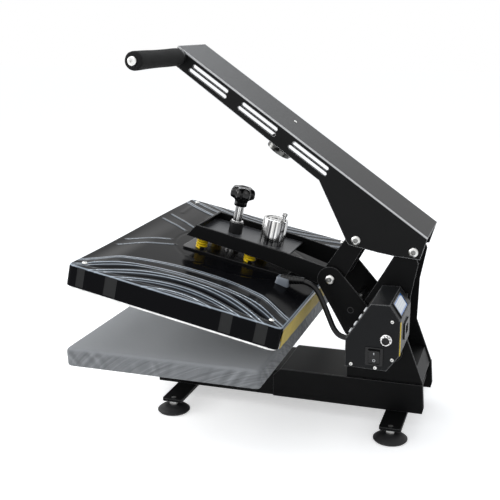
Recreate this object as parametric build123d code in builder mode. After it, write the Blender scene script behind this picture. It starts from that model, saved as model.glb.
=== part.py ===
from build123d import *
from math import cos, hypot, pi, radians, sin, sqrt, tan
import os

# Flat heat press with a lifting upper platen. Millimetres, +X is the machine's right side,
# +Y is rearwards, +Z is up, and the origin is on the floor under the centre of the machine.
# Points written as pairs are (y, z) in the side view.

# Fits between pieces
running = 0.05
side_gap = 1.0

# Linkage in the side view, at rest with the press open
handle_pivot = (301.0, 364.5)
link_top = (187.0, 380.0)
link_foot = (136.5, 295.5)
press_pivot = (266.2, 156.0)
handle_travel = 35.0
platen_tilt = 11.55
shaft_radius = 7.0
screw_head_radius = 9.7
screw_head_height = 4.6
socket_radius = 3.6
socket_depth = 2.6

# Plates of the frame, from the middle outwards
plate = 5.0
arm_plate = 4.0
tower_inner = 67.5
tower_outer = tower_inner + plate
base_outer = tower_outer + plate
arm_inner = tower_outer + side_gap
arm_outer = arm_inner + arm_plate
tray_inner = arm_inner - arm_plate
link_outer = 68.0
link_inner = link_outer - plate

# Lower platen
pad_width = 640.0
pad_length = 400.0
pad_front = -335.0
pad_top = 182.6
pad_height = 40.0
pad_corner = 10.0
pad_edge = 5.0
cover_cloth = 3.0
hem_width = 14.0
hem_draw = 5.0
sponge_height = 25.0

# Upper platen, in its own plane: across, along (rearwards) and height above the side's top edge
platen_middle = (-107.15, 308.15)
cover_width = 640.0
cover_length = 432.0
cover_side = 41.3
cover_crown = 13.0
cover_wall = 3.0
cover_corner = 20.0
rear_wall_cut = 20.0
heater_height = 15.0
heater_drop = 4.5
insulation_height = 10.0
heater_setback = 1.5
mount_plate_height = 4.0
mount_plate_width = 148.0
mount_plate_front = -82.0
mount_plate_rear = 152.0

# Pressure screw and holding magnet on the middle line of the press arm
tray_floor_top = 54.0
floor_sheet = 4.0
knob_along = 5.0
stud_radius = 9.5
sleeve_radius = 14.8
sleeve_top = 78.0
ring_radius = 12.5
ring_height = 3.0
hub_bottom = 114.4
knob_bottom = 127.4
knob_top = 156.3
hub_radius = 13.5
knob_core_radius = 22.0
knob_lobe_radius = 6.5
knob_lobes = 7
magnet_along = 88.0
magnet_radius = 26.5
magnet_top = 108.0
magnet_pin_radius = 2.6
magnet_pin_height = 16.0
magnet_pin_offset = 17.0
armature_radius = 27.5
armature_height = 10.0
armature_gap = 0.4
armature_bracket_depth = 26.0
armature_bracket_width = 36.0
armature_stud_radius = 6.0

# Lift springs between the upper platen and the tray
spring_across = 53.0
spring_front = -46.3
spring_rear = 62.1
spring_radius = 10.4
spring_wire = 2.15
spring_turns = 5

# Handle, measured forwards of its pivot and down from the arm's top face
arm_length = 620.0
arm_top_over_pivot = 40.0
arm_rear = 4.0
slot_width = 7.0
slot_rows = ((13.0, 88.0), (24.0, 94.0))
slot_centres = (0.85 * arm_length, 0.648 * arm_length, 0.442 * arm_length)
bar_forward = arm_length - 15.0
bar_depth = 16.0
bar_radius = 8.0
grip_start = 92.0
grip_radius = 17.5
grip_end = 297.0
collar_radius = 15.0
end_bolt_radius = 8.5
end_bolt_height = 6.0

# Base and feet
foot_across = 150.7
foot_front = -178.4
foot_rear = 281.1
foot_radius = 34.0
foot_height = 15.0
foot_rim = 5.0
nut_height = 8.2
nut_radius = 9.0
foot_stud_radius = 5.0
crossbar_width = 44.0
crossbar_height = 6.0
crossbar_half = 162.5
beam_front = -245.0
beam_rear = 120.0
beam_flange = 22.0
side_front = 18.7
side_top = 90.5
rear_end = 335.0
tower_front = 175.0
pedestal_width = 130.0
pedestal_front = -235.0
pedestal_rear = -35.0

# Gas strut inside the tower
strut_foot = (200.0, 55.0)
strut_head = (180.0, 235.0)
strut_pin_radius = 6.0
strut_body_radius = 9.5
strut_rod_radius = 4.0
strut_body_length = 105.0
strut_eye_radius = 11.0
strut_eye_width = 16.0
strut_head_play = 0.6

# Control box on the right side of the tower
box_inner = 79.0
box_outer = 210.0
box_wall = 2.5
box_back_plate = 3.0
display_middle_across = 150.0
display_width = 84.0
display_height = 33.0
display_frame = 3.0
display_proud = 2.4
switch_at = (253.5, 192.5)
switch_width = 33.0
switch_height = 35.0
switch_proud = 2.0
rocker_width = 21.0
rocker_length = 26.0
rocker_tilt = 9.0
connector_at = (275.0, 227.0)
connector_radius = 12.0
inlet_across = 140.0
inlet_width = 50.0
inlet_tall = 32.0

# Cable between the upper platen and the control box
cable_radius = 5.5
gland_front = 46.0
gland_length = 22.0
gland_radius = 8.0
gland_saddle_along = 160.0
cable_route = [
    (112.0, 91.0, 298.2),
    (116.0, 117.0, 288.5),
    (121.0, 132.5, 262.5),
    (126.0, 148.0, 230.5),
    (129.5, 158.5, 208.5),
    (132.0, 174.0, 195.0),
]
cable_entry_gap = 19.0

# Heights that follow from the sizes above
bar_bottom = foot_height + nut_height
floor_of_base = bar_bottom + crossbar_height
top_sheet = side_top - 4.5
pad_bottom = pad_top - pad_height
lower_plate_height = pad_height - hem_draw - cover_cloth - sponge_height
spring_base = cover_crown + mount_plate_height
spring_top = tray_floor_top - floor_sheet
heater_bottom = -cover_side - heater_drop
heater_top = heater_bottom + heater_height

os.makedirs("parts", exist_ok=True)


def turned(point, centre, angle):
    """The side-view point turned about centre, positive when the front goes down."""
    dy, dz = point[0] - centre[0], point[1] - centre[1]
    c, s = cos(radians(angle)), sin(radians(angle))
    return (centre[0] + dy * c - dz * s, centre[1] + dy * s + dz * c)


def side(x):
    """The side-view plane at x, whose normal is +X."""
    return Plane.YZ.offset(x)


def platen_plane(height, across=0.0, along=0.0):
    """The upper platen's plane at a height above its side's top edge."""
    tilt = radians(platen_tilt)
    y = platen_middle[0] + along * cos(tilt) + height * sin(tilt)
    z = platen_middle[1] - along * sin(tilt) + height * cos(tilt)
    return Plane(origin=(across, y, z), x_dir=(1, 0, 0), z_dir=(0, sin(tilt), cos(tilt)))


def platen_side_point(along, height):
    """The side-view point at a place of the upper platen."""
    origin = platen_plane(height, 0, along).origin
    return (origin.Y, origin.Z)


def arm_point(forward, depth):
    """The side-view point of the handle arm, forwards of the pivot and below the top face."""
    slope = radians(handle_travel)
    up = arm_top_over_pivot - depth
    y = handle_pivot[0] - forward * cos(slope) + up * sin(slope)
    z = handle_pivot[1] + forward * sin(slope) + up * cos(slope)
    return (y, z)


def arm_plane(x, forward, depth):
    """A plane square to X on the handle arm, its x axis along the arm towards the front."""
    slope = radians(handle_travel)
    y, z = arm_point(forward, depth)
    return Plane(origin=(x, y, z), x_dir=(0, -cos(slope), sin(slope)), z_dir=(-1, 0, 0))


def screw_pair(centre, seat):
    """Button-head screws on both outer faces of a pivot, each with a hexagonal socket."""
    with BuildPart() as pair:
        with BuildSketch(side(seat)):
            with Locations(centre):
                Circle(screw_head_radius)
        extrude(amount=screw_head_height)
        fillet(pair.edges().group_by(Axis.X)[-1], 1.8)
        with BuildSketch(side(seat + screw_head_height)):
            with Locations(centre):
                RegularPolygon(socket_radius, 6)
        extrude(amount=-socket_depth, mode=Mode.SUBTRACT)
        mirror(about=Plane.YZ)
    return pair


def cross_shaft(centre, half_length, radius):
    """A round bar across the machine."""
    with BuildPart() as bar:
        with BuildSketch(side(-half_length)):
            with Locations(centre):
                Circle(radius)
        extrude(amount=2 * half_length)
    return bar


# Rubber levelling feet, their studs with lock nuts, and the two crossbars
foot_spots = [(x, y) for x in (-foot_across, foot_across) for y in (foot_front, foot_rear)]

with BuildPart() as rubber_feet:
    for x, y in foot_spots:
        with BuildSketch(Plane.XZ.offset(-y)):
            with BuildLine():
                Polyline(
                    (x, 0),
                    (x + foot_radius - 3, 0),
                    (x + foot_radius, foot_rim - 2),
                    (x + foot_radius, foot_rim),
                )
                ThreePointArc(
                    (x + foot_radius, foot_rim),
                    (x + 0.72 * foot_radius, foot_height - 3.4),
                    (x + 0.36 * foot_radius, foot_height),
                )
                Polyline((x + 0.36 * foot_radius, foot_height), (x, foot_height), (x, 0))
            make_face()
        revolve(axis=Axis((x, y, 0), (0, 0, 1)))
    with BuildSketch(Plane.XY.offset(foot_height)):
        with Locations(*foot_spots):
            Circle(foot_stud_radius)
    extrude(amount=-(foot_height - foot_rim), mode=Mode.SUBTRACT)
rubber_feet.part.label = "rubber_feet"
export_step(rubber_feet.part, "parts/rubber_feet.step")

with BuildPart() as foot_studs:
    with BuildSketch(Plane.XY.offset(foot_rim)):
        with Locations(*foot_spots):
            Circle(foot_stud_radius)
    extrude(amount=floor_of_base - foot_rim)
    with BuildSketch(Plane.XY.offset(foot_height)):
        with Locations(*foot_spots):
            RegularPolygon(nut_radius, 6)
    extrude(amount=nut_height)
foot_studs.part.label = "foot_studs"
export_step(foot_studs.part, "parts/foot_studs.step")

with BuildPart() as crossbars:
    with BuildSketch(Plane.XY.offset(bar_bottom)):
        with Locations((0, foot_front), (0, foot_rear)):
            RectangleRounded(2 * crossbar_half, crossbar_width, 6)
        with Locations(*foot_spots):
            Circle(foot_stud_radius, mode=Mode.SUBTRACT)
    extrude(amount=crossbar_height)
crossbars.part.label = "crossbars"
export_step(crossbars.part, "parts/crossbars.step")

# Base beam: an inverted channel with inward flanges and a closed front
with BuildPart() as base_beam:
    with BuildSketch(Plane.XZ.offset(-beam_front)):
        with Locations((0, (floor_of_base + top_sheet) / 2)):
            Rectangle(2 * tower_outer, top_sheet - floor_of_base)
    extrude(amount=-(beam_rear - beam_front))
    with BuildSketch(Plane.XZ.offset(-beam_front - plate)):
        with Locations((0, (floor_of_base + top_sheet) / 2)):
            Rectangle(2 * tower_inner, top_sheet - floor_of_base - 2 * plate)
        with Locations((0, floor_of_base)):
            Rectangle(2 * (tower_inner - beam_flange), 3 * plate)
    extrude(amount=-(beam_rear - beam_front), mode=Mode.SUBTRACT)
base_beam.part.label = "base_beam"
export_step(base_beam.part, "parts/base_beam.step")

# Base side plates outside the beam and the tower, with a cut front corner and a rear knee
base_side_outline = [
    (side_front, floor_of_base),
    (side_front, side_top - 15),
    (side_front + 15, side_top),
    (rear_end - 3.8, side_top),
    (rear_end, 40.0),
    (rear_end - 2.5, floor_of_base),
]
for name, x in (("base_side_right", tower_outer), ("base_side_left", -base_outer)):
    with BuildPart() as base_side:
        with BuildSketch(side(x)):
            with BuildLine():
                Polyline(*base_side_outline, close=True)
            make_face()
        extrude(amount=plate)
    base_side.part.label = name
    export_step(base_side.part, f"parts/{name}.step")

with BuildPart() as base_top_plate:
    with BuildSketch(Plane.XY.offset(top_sheet)):
        with Locations((0, (side_front + 15 + tower_front) / 2)):
            Rectangle(2 * tower_outer, tower_front - side_front - 15)
    extrude(amount=side_top - top_sheet)
base_top_plate.part.label = "base_top_plate"
export_step(base_top_plate.part, "parts/base_top_plate.step")

# Tower plates: the foot inside the base sides, and the rear prong that carries the handle
prong_radius = 16.0
tower_outline = [
    (beam_rear, floor_of_base),
    (beam_rear, top_sheet),
    (tower_front, top_sheet),
    (tower_front, 197.0),
    (207.9, 257.2),
    (232.7, 299.1),
    (262.5, 352.8),
    (handle_pivot[0] - 13.5, handle_pivot[1] + 8.0),
    handle_pivot,
    (310.7, 340.2),
    (298.2, 271.9),
    (296.1, 182.1),
    (rear_end - 3.8, side_top),
    (rear_end, 40.0),
    (rear_end - 2.5, floor_of_base),
]
tie_rods = [(150.0, 58.0), (278.0, 262.0), (318.0, 62.0)]
tie_rod_radius = 6.0
for name, x in (("tower_plate_right", tower_inner), ("tower_plate_left", -tower_outer)):
    with BuildPart() as tower_plate:
        with BuildSketch(side(x)):
            with BuildLine():
                Polyline(*tower_outline, close=True)
            make_face()
            with Locations(handle_pivot):
                Circle(prong_radius)
                Circle(shaft_radius, mode=Mode.SUBTRACT)
            with Locations(press_pivot):
                Circle(shaft_radius, mode=Mode.SUBTRACT)
        extrude(amount=plate)
    tower_plate.part.label = name
    export_step(tower_plate.part, f"parts/{name}.step")

# Tie rods between the tower plates, with the pin that holds the foot of the gas strut
with BuildPart() as tie_rod_set:
    with BuildSketch(side(-tower_inner)):
        with Locations(*tie_rods, strut_foot):
            Circle(tie_rod_radius)
    extrude(amount=2 * tower_inner)
tie_rod_set.part.label = "tie_rods"
export_step(tie_rod_set.part, "parts/tie_rods.step")

# Rear cover: a bent sheet between the tower plates, sloping along the rear knee
knee = (rear_end - 3.8, side_top)
tower_waist = (296.1, 182.1)
cover_rise = 0.33
rear_cover_sheet = 3.0
rear_cover_inset = 4.5
rear_cover_reach = 45.0
bend = (
    knee[0] + cover_rise * (tower_waist[0] - knee[0]),
    knee[1] + cover_rise * (tower_waist[1] - knee[1]),
)
with BuildPart() as rear_cover:
    with BuildSketch(side(-tower_inner)):
        with BuildLine():
            Polyline(
                (knee[0] - rear_cover_inset, knee[1] - 2),
                (bend[0] - rear_cover_inset, bend[1]),
                (bend[0] - rear_cover_reach, bend[1] + rear_cover_sheet),
            )
        trace(line_width=rear_cover_sheet)
    extrude(amount=2 * tower_inner)
rear_cover.part.label = "rear_cover"
export_step(rear_cover.part, "parts/rear_cover.step")

# Shafts fixed to the tower: the handle pivot, and the press pivot with retaining rings
handle_shaft = cross_shaft(handle_pivot, arm_outer + running, shaft_radius)
handle_shaft.part.label = "handle_shaft"
export_step(handle_shaft.part, "parts/handle_shaft.step")

handle_shaft_screws = screw_pair(handle_pivot, arm_outer + running)
handle_shaft_screws.part.label = "handle_shaft_screws"
export_step(handle_shaft_screws.part, "parts/handle_shaft_screws.step")

with BuildPart() as press_shaft:
    with BuildSketch(side(-arm_outer)):
        with Locations(press_pivot):
            Circle(shaft_radius)
    extrude(amount=2 * arm_outer)
    with BuildSketch(side(arm_outer + running)):
        with Locations(press_pivot):
            Circle(shaft_radius + 1.6)
    extrude(amount=1.0)
    with BuildSketch(side(arm_outer)):
        with Locations(press_pivot):
            Circle(shaft_radius)
    extrude(amount=running)
    mirror(about=Plane.YZ)
press_shaft.part.label = "press_shaft"
export_step(press_shaft.part, "parts/press_shaft.step")

# Lower platen: pedestal, plate, sponge pad and fitted cloth cover
pad_middle = pad_front + pad_length / 2
cloth_inner_width = pad_width - 2 * cover_cloth
cloth_inner_length = pad_length - 2 * cover_cloth
lower_plate_bottom = pad_bottom + hem_draw

with BuildPart() as pedestal:
    with BuildSketch(Plane.XY.offset(top_sheet)):
        with Locations((0, (pedestal_front + pedestal_rear) / 2)):
            Rectangle(pedestal_width, pedestal_rear - pedestal_front)
    extrude(amount=lower_plate_bottom - top_sheet)
    with BuildSketch(Plane.XY.offset(top_sheet)):
        with Locations((0, (pedestal_front + pedestal_rear) / 2)):
            Rectangle(pedestal_width - 2 * plate, pedestal_rear - pedestal_front)
    extrude(amount=lower_plate_bottom - top_sheet - plate, mode=Mode.SUBTRACT)
pedestal.part.label = "pedestal"
export_step(pedestal.part, "parts/pedestal.step")

with BuildPart() as lower_platen_plate:
    with BuildSketch(Plane.XY.offset(lower_plate_bottom)):
        with Locations((0, pad_middle)):
            RectangleRounded(cloth_inner_width - 1, cloth_inner_length - 1, pad_corner - cover_cloth)
    extrude(amount=lower_plate_height)
lower_platen_plate.part.label = "lower_platen_plate"
export_step(lower_platen_plate.part, "parts/lower_platen_plate.step")

with BuildPart() as sponge_pad:
    with BuildSketch(Plane.XY.offset(lower_plate_bottom + lower_plate_height)):
        with Locations((0, pad_middle)):
            RectangleRounded(cloth_inner_width - 1, cloth_inner_length - 1, pad_corner - cover_cloth)
    extrude(amount=sponge_height)
    fillet(sponge_pad.edges().group_by(Axis.Z)[-1], pad_edge - 1)
sponge_pad.part.label = "sponge_pad"
export_step(sponge_pad.part, "parts/sponge_pad.step")

with BuildPart() as pad_cover:
    with BuildSketch(Plane.XY.offset(pad_bottom)):
        with Locations((0, pad_middle)):
            RectangleRounded(pad_width, pad_length, pad_corner)
    extrude(amount=pad_height)
    fillet(pad_cover.edges().group_by(Axis.Z)[-1], pad_edge)
    chamfer(pad_cover.edges().group_by(Axis.Z)[0], hem_draw)
    with BuildSketch(Plane.XY.offset(pad_bottom + hem_draw)):
        with Locations((0, pad_middle)):
            RectangleRounded(cloth_inner_width, cloth_inner_length, pad_corner - cover_cloth)
    extrude(amount=pad_height - hem_draw - cover_cloth, mode=Mode.SUBTRACT)
    with BuildSketch(Plane.XY.offset(pad_bottom)):
        with Locations((0, pad_middle)):
            RectangleRounded(pad_width - 2 * hem_width, pad_length - 2 * hem_width, pad_corner)
    extrude(amount=hem_draw, mode=Mode.SUBTRACT)
pad_cover.part.label = "pad_cover"
export_step(pad_cover.part, "parts/pad_cover.step")

# Handle arm: a channel open below, with two rows of slots in each side
elbow = (110.2, 109.6)
arm_front_lean = 7.9
arm_front_height = 35.4
front_wall = 3.0
arm_outline = [
    (arm_length, 0.0),
    (-arm_rear, 0.0),
    (-18.8, 44.4),
    (25.0, 70.2),
    (53.7, 84.6),
    elbow,
    (231.9, 41.9),
    (arm_length - arm_front_lean, arm_front_height),
]
arm_hollow = [
    (arm_length - front_wall, 0.0),
    (arm_length - front_wall - arm_front_lean, arm_front_height),
    (arm_length - front_wall - 3 * arm_front_lean, 3 * arm_front_height),
    (0.0, 150.0),
    (-60.0, 0.0),
]
with BuildPart() as handle_arm:
    with BuildSketch(arm_plane(arm_outer, 0, 0)) as arm_side:
        with BuildLine():
            Polyline(*[(forward, -depth) for forward, depth in arm_outline], close=True)
        make_face()
        fillet(arm_side.vertices().sort_by_distance((elbow[0], -elbow[1]))[0], 14)
    extrude(amount=2 * arm_outer)
    with BuildSketch(arm_plane(arm_inner, 0, arm_plate)):
        with BuildLine():
            Polyline(*[(forward, -depth) for forward, depth in arm_hollow], close=True)
        make_face()
    extrude(amount=2 * arm_inner, mode=Mode.SUBTRACT)
    for depth, length in slot_rows:
        with BuildSketch(arm_plane(arm_outer, 0, depth)):
            with Locations(*[(forward, 0) for forward in slot_centres]):
                SlotOverall(length, slot_width)
        extrude(amount=2 * arm_outer, mode=Mode.SUBTRACT)
    with BuildSketch(arm_plane(arm_outer, bar_forward, bar_depth)):
        Circle(bar_radius)
    extrude(amount=2 * arm_outer, mode=Mode.SUBTRACT)
    with BuildSketch(side(-arm_outer)):
        with Locations(handle_pivot):
            Circle(shaft_radius + running)
        with Locations(link_top):
            Circle(shaft_radius)
    extrude(amount=2 * arm_outer, mode=Mode.SUBTRACT)
handle_arm.part.label = "handle_arm"
export_step(handle_arm.part, "parts/handle_arm.step")

# Handle bar through both sides of the arm, with its collar, foam grip and end bolt
bar_centre = arm_point(bar_forward, bar_depth)
with BuildPart() as grip_bar:
    with BuildSketch(side(-arm_outer - 3)):
        with Locations(bar_centre):
            Circle(bar_radius)
    extrude(amount=grip_end + arm_outer + 3)
    with BuildSketch(side(-arm_outer - 3)):
        with Locations(bar_centre):
            Circle(collar_radius)
    extrude(amount=3)
grip_bar.part.label = "grip_bar"
export_step(grip_bar.part, "parts/grip_bar.step")

with BuildPart() as grip_collar:
    with BuildSketch(side(arm_outer)):
        with Locations(bar_centre):
            Circle(collar_radius)
            Circle(bar_radius, mode=Mode.SUBTRACT)
    extrude(amount=grip_start - arm_outer)
    chamfer(grip_collar.edges().group_by(Axis.X)[-1].sort_by(SortBy.LENGTH)[-1], 2.5)
grip_collar.part.label = "grip_collar"
export_step(grip_collar.part, "parts/grip_collar.step")

with BuildPart() as foam_grip:
    with BuildSketch(side(grip_start)):
        with Locations(bar_centre):
            Circle(grip_radius)
            Circle(bar_radius, mode=Mode.SUBTRACT)
    extrude(amount=grip_end - grip_start)
    fillet(foam_grip.edges().group_by(Axis.X)[-1].sort_by(SortBy.LENGTH)[-1], 5)
    fillet(foam_grip.edges().group_by(Axis.X)[0].sort_by(SortBy.LENGTH)[-1], 3)
foam_grip.part.label = "foam_grip"
export_step(foam_grip.part, "parts/foam_grip.step")

with BuildPart() as grip_end_bolt:
    with BuildSketch(side(grip_end)):
        with Locations(bar_centre):
            Circle(end_bolt_radius)
    extrude(amount=end_bolt_height)
    fillet(grip_end_bolt.edges().group_by(Axis.X)[-1], 2)
    with BuildSketch(side(grip_end + end_bolt_height)):
        with Locations(bar_centre):
            RegularPolygon(socket_radius, 6)
    extrude(amount=-socket_depth, mode=Mode.SUBTRACT)
grip_end_bolt.part.label = "grip_end_bolt"
export_step(grip_end_bolt.part, "parts/grip_end_bolt.step")

# Armature: its lower face lies on the magnet when handle and press are both closed
magnet_face = platen_side_point(magnet_along, magnet_top)
met_y, met_z = turned(magnet_face, press_pivot, platen_tilt)
armature_face = turned((met_y, met_z + armature_gap), handle_pivot, -handle_travel)
slope = radians(handle_travel)
armature_dy = armature_face[0] - handle_pivot[0]
armature_dz = armature_face[1] - handle_pivot[1]
armature_forward = armature_dz * sin(slope) - armature_dy * cos(slope)
armature_depth = arm_top_over_pivot - armature_dy * sin(slope) - armature_dz * cos(slope)


def armature_plane(depth):
    """The plane square to the arm's depth over the armature, its y axis rearwards."""
    y, z = arm_point(armature_forward, depth)
    return Plane(origin=(0, y, z), x_dir=(1, 0, 0), z_dir=(0, sin(slope), cos(slope)))


with BuildPart() as armature_bracket:
    with BuildSketch(armature_plane(armature_bracket_depth)):
        Rectangle(2 * arm_inner, armature_bracket_width)
    extrude(amount=-arm_plate)
    with BuildSketch(armature_plane(armature_bracket_depth + arm_plate)):
        Circle(armature_stud_radius)
    extrude(amount=-(armature_depth - armature_height - armature_bracket_depth - arm_plate))
    with BuildSketch(armature_plane(armature_bracket_depth + arm_plate)):
        RegularPolygon(1.5 * armature_stud_radius, 6)
    extrude(amount=-armature_stud_radius)
armature_bracket.part.label = "armature_bracket"
export_step(armature_bracket.part, "parts/armature_bracket.step")

pin_notch = 2 * magnet_pin_radius + 7
with BuildPart() as armature_disc:
    with BuildSketch(armature_plane(armature_depth)):
        Circle(armature_radius)
        with Locations((0, magnet_pin_offset + armature_radius / 2)):
            Rectangle(pin_notch, armature_radius + pin_notch, mode=Mode.SUBTRACT)
    extrude(amount=armature_height)
armature_disc.part.label = "armature_disc"
export_step(armature_disc.part, "parts/armature_disc.step")

# Link: two plates under a pin in the arm, with an open-sided slot eye over the press arm's shaft
link_pin = cross_shaft(link_top, arm_outer, shaft_radius)
link_pin.part.label = "link_pin"
export_step(link_pin.part, "parts/link_pin.step")

link_pin_screws = screw_pair(link_top, arm_outer)
link_pin_screws.part.label = "link_pin_screws"
export_step(link_pin_screws.part, "parts/link_pin_screws.step")

link_top_radius = 19.0
link_foot_radius = 23.0
link_spacer_radius = 8.0
slot_play = 1.4
slot_drift = (6.2, 6.3)
link_middle = ((link_top[0] + link_foot[0]) / 2, (link_top[1] + link_foot[1]) / 2)
with BuildPart() as link_plates:
    with BuildSketch(side(link_inner)):
        with Locations(link_top):
            Circle(link_top_radius)
        with Locations(link_foot):
            Circle(link_foot_radius)
        make_hull()
    extrude(amount=plate)
    mirror(about=Plane.YZ)
    with BuildSketch(side(-link_inner)):
        with Locations(link_middle):
            Circle(link_spacer_radius)
    extrude(amount=2 * link_inner)
    with BuildSketch(side(-link_outer)):
        with Locations(link_top):
            Circle(shaft_radius + running)
    extrude(amount=2 * link_outer, mode=Mode.SUBTRACT)
    with BuildSketch(side(-link_outer)):
        with Locations(link_foot, (link_foot[0] + slot_drift[0], link_foot[1] + slot_drift[1])):
            Circle(shaft_radius + slot_play)
        make_hull()
    extrude(amount=2 * link_outer, mode=Mode.SUBTRACT)
link_plates.part.label = "link_plates"
export_step(link_plates.part, "parts/link_plates.step")

# Press arm side plates: from the link foot down to the hidden low pivot
link_foot_round = 26.0
press_pivot_round = 22.0
press_heel = (183.1, 195.4)
press_heel_round = 16.0
for name, x in (("press_plate_right", arm_inner), ("press_plate_left", -arm_outer)):
    with BuildPart() as press_plate:
        with BuildSketch(side(x)):
            with Locations(link_foot):
                Circle(link_foot_round)
            with Locations(press_pivot):
                Circle(press_pivot_round)
            with Locations(press_heel):
                Circle(press_heel_round)
            make_hull()
            with Locations(link_foot):
                Circle(shaft_radius, mode=Mode.SUBTRACT)
            with Locations(strut_head):
                Circle(strut_pin_radius, mode=Mode.SUBTRACT)
            with Locations(press_pivot):
                Circle(shaft_radius + running, mode=Mode.SUBTRACT)
        extrude(amount=arm_plate)
    press_plate.part.label = name
    export_step(press_plate.part, f"parts/{name}.step")

# Cross pins of the press arm: the link's shaft and the head pin of the gas strut
with BuildPart() as press_cross_pins:
    with BuildSketch(side(-arm_outer)):
        with Locations(link_foot):
            Circle(shaft_radius)
        with Locations(strut_head):
            Circle(strut_pin_radius)
    extrude(amount=2 * arm_outer)
press_cross_pins.part.label = "press_cross_pins"
export_step(press_cross_pins.part, "parts/press_cross_pins.step")

press_link_screws = screw_pair(link_foot, arm_outer)
press_link_screws.part.label = "press_link_screws"
export_step(press_link_screws.part, "parts/press_link_screws.step")

# Press arm tray: two flanges with a sloping front wall, and a floor between them
tray_lip_front = (-59.5, 69.3)
tray_chin = (-77.3, 42.2)
tray_flange = [
    tray_lip_front,
    (138.9, 63.9),
    (227.7, 58.1),
    (241.0, 36.0),
    (217.2, 20.0),
    (94.7, 35.5),
    tray_chin,
]
tray_round = 22.0
with BuildPart() as press_tray:
    with BuildSketch(side(tray_inner)):
        with BuildLine():
            Polyline(*[platen_side_point(*spot) for spot in tray_flange], close=True)
        make_face()
        with Locations(link_foot):
            Circle(tray_round)
    extrude(amount=arm_plate)
    mirror(about=Plane.YZ)
    with BuildSketch(side(-tray_inner)):
        with BuildLine():
            Polyline(
                platen_side_point(*tray_lip_front),
                platen_side_point(tray_lip_front[0] + arm_plate, tray_lip_front[1]),
                platen_side_point(tray_chin[0] + arm_plate, tray_chin[1]),
                platen_side_point(*tray_chin),
                close=True,
            )
        make_face()
    extrude(amount=2 * tray_inner)
    with BuildSketch(side(-arm_inner)):
        with Locations(link_foot):
            Circle(shaft_radius)
    extrude(amount=2 * arm_inner, mode=Mode.SUBTRACT)
press_tray.part.label = "press_tray"
export_step(press_tray.part, "parts/press_tray.step")

floor_front = -64.0
floor_rear = 141.0
with BuildPart() as tray_floor:
    with BuildSketch(platen_plane(tray_floor_top, 0, (floor_front + floor_rear) / 2)):
        Rectangle(2 * tray_inner, floor_rear - floor_front)
    extrude(amount=-floor_sheet)
    with BuildSketch(platen_plane(tray_floor_top, 0, knob_along)):
        Circle(stud_radius + running)
    extrude(amount=-floor_sheet, mode=Mode.SUBTRACT)
tray_floor.part.label = "tray_floor"
export_step(tray_floor.part, "parts/tray_floor.step")

# Guide sleeve and ring for the pressure screw
with BuildPart() as knob_sleeve:
    with BuildSketch(platen_plane(tray_floor_top, 0, knob_along)):
        Circle(sleeve_radius)
        Circle(stud_radius + running, mode=Mode.SUBTRACT)
    extrude(amount=sleeve_top - tray_floor_top)
knob_sleeve.part.label = "knob_sleeve"
export_step(knob_sleeve.part, "parts/knob_sleeve.step")

with BuildPart() as sleeve_ring:
    with BuildSketch(platen_plane(sleeve_top, 0, knob_along)):
        Circle(ring_radius)
        Circle(stud_radius + running, mode=Mode.SUBTRACT)
    extrude(amount=ring_height)
sleeve_ring.part.label = "sleeve_ring"
export_step(sleeve_ring.part, "parts/sleeve_ring.step")

# Pressure screw: a stud whose foot turns on the upper platen, under a lobed knob
stud_foot_radius = 16.0
stud_foot_height = 4.0
with BuildPart() as pressure_stud:
    with BuildSketch(platen_plane(spring_base, 0, knob_along)):
        Circle(stud_foot_radius)
    extrude(amount=stud_foot_height)
    with BuildSketch(platen_plane(spring_base + stud_foot_height, 0, knob_along)):
        Circle(stud_radius)
    extrude(amount=hub_bottom - spring_base - stud_foot_height)
pressure_stud.part.label = "pressure_stud"
export_step(pressure_stud.part, "parts/pressure_stud.step")

knob_lobe_circle = 27.0 - knob_lobe_radius
with BuildPart() as star_knob:
    with BuildSketch(platen_plane(hub_bottom, 0, knob_along)):
        Circle(hub_radius)
    extrude(amount=knob_bottom - hub_bottom)
    with BuildSketch(platen_plane(knob_bottom, 0, knob_along)):
        Circle(knob_core_radius)
        with PolarLocations(knob_lobe_circle, knob_lobes):
            Circle(knob_lobe_radius)
    extrude(amount=knob_top - knob_bottom)
    top_face = star_knob.faces().sort_by_distance(platen_plane(knob_top, 0, knob_along).origin)[0]
    fillet(top_face.edges(), 4)
star_knob.part.label = "star_knob"
export_step(star_knob.part, "parts/star_knob.step")

# Holding magnet: a steel pot with a ring groove in its face, and a small trip pin
magnet_groove = (16.0, 20.5)
magnet_groove_depth = 1.5
with BuildPart() as magnet_pot:
    with BuildSketch(platen_plane(tray_floor_top, 0, magnet_along)):
        Circle(magnet_radius)
    extrude(amount=magnet_top - tray_floor_top)
    with BuildSketch(platen_plane(magnet_top, 0, magnet_along)):
        Circle(magnet_groove[1])
        Circle(magnet_groove[0], mode=Mode.SUBTRACT)
    extrude(amount=-magnet_groove_depth, mode=Mode.SUBTRACT)
    with BuildSketch(platen_plane(magnet_top, 0, magnet_along + magnet_pin_offset)):
        Circle(magnet_pin_radius)
    extrude(amount=-2 * magnet_pin_height / 3, mode=Mode.SUBTRACT)
magnet_pot.part.label = "magnet_pot"
export_step(magnet_pot.part, "parts/magnet_pot.step")

with BuildPart() as magnet_pin:
    magnet_pin_base = magnet_top - 2 * magnet_pin_height / 3
    with BuildSketch(platen_plane(magnet_pin_base, 0, magnet_along + magnet_pin_offset)):
        Circle(magnet_pin_radius)
    extrude(amount=5 * magnet_pin_height / 3)
magnet_pin.part.label = "magnet_pin"
export_step(magnet_pin.part, "parts/magnet_pin.step")

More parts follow.
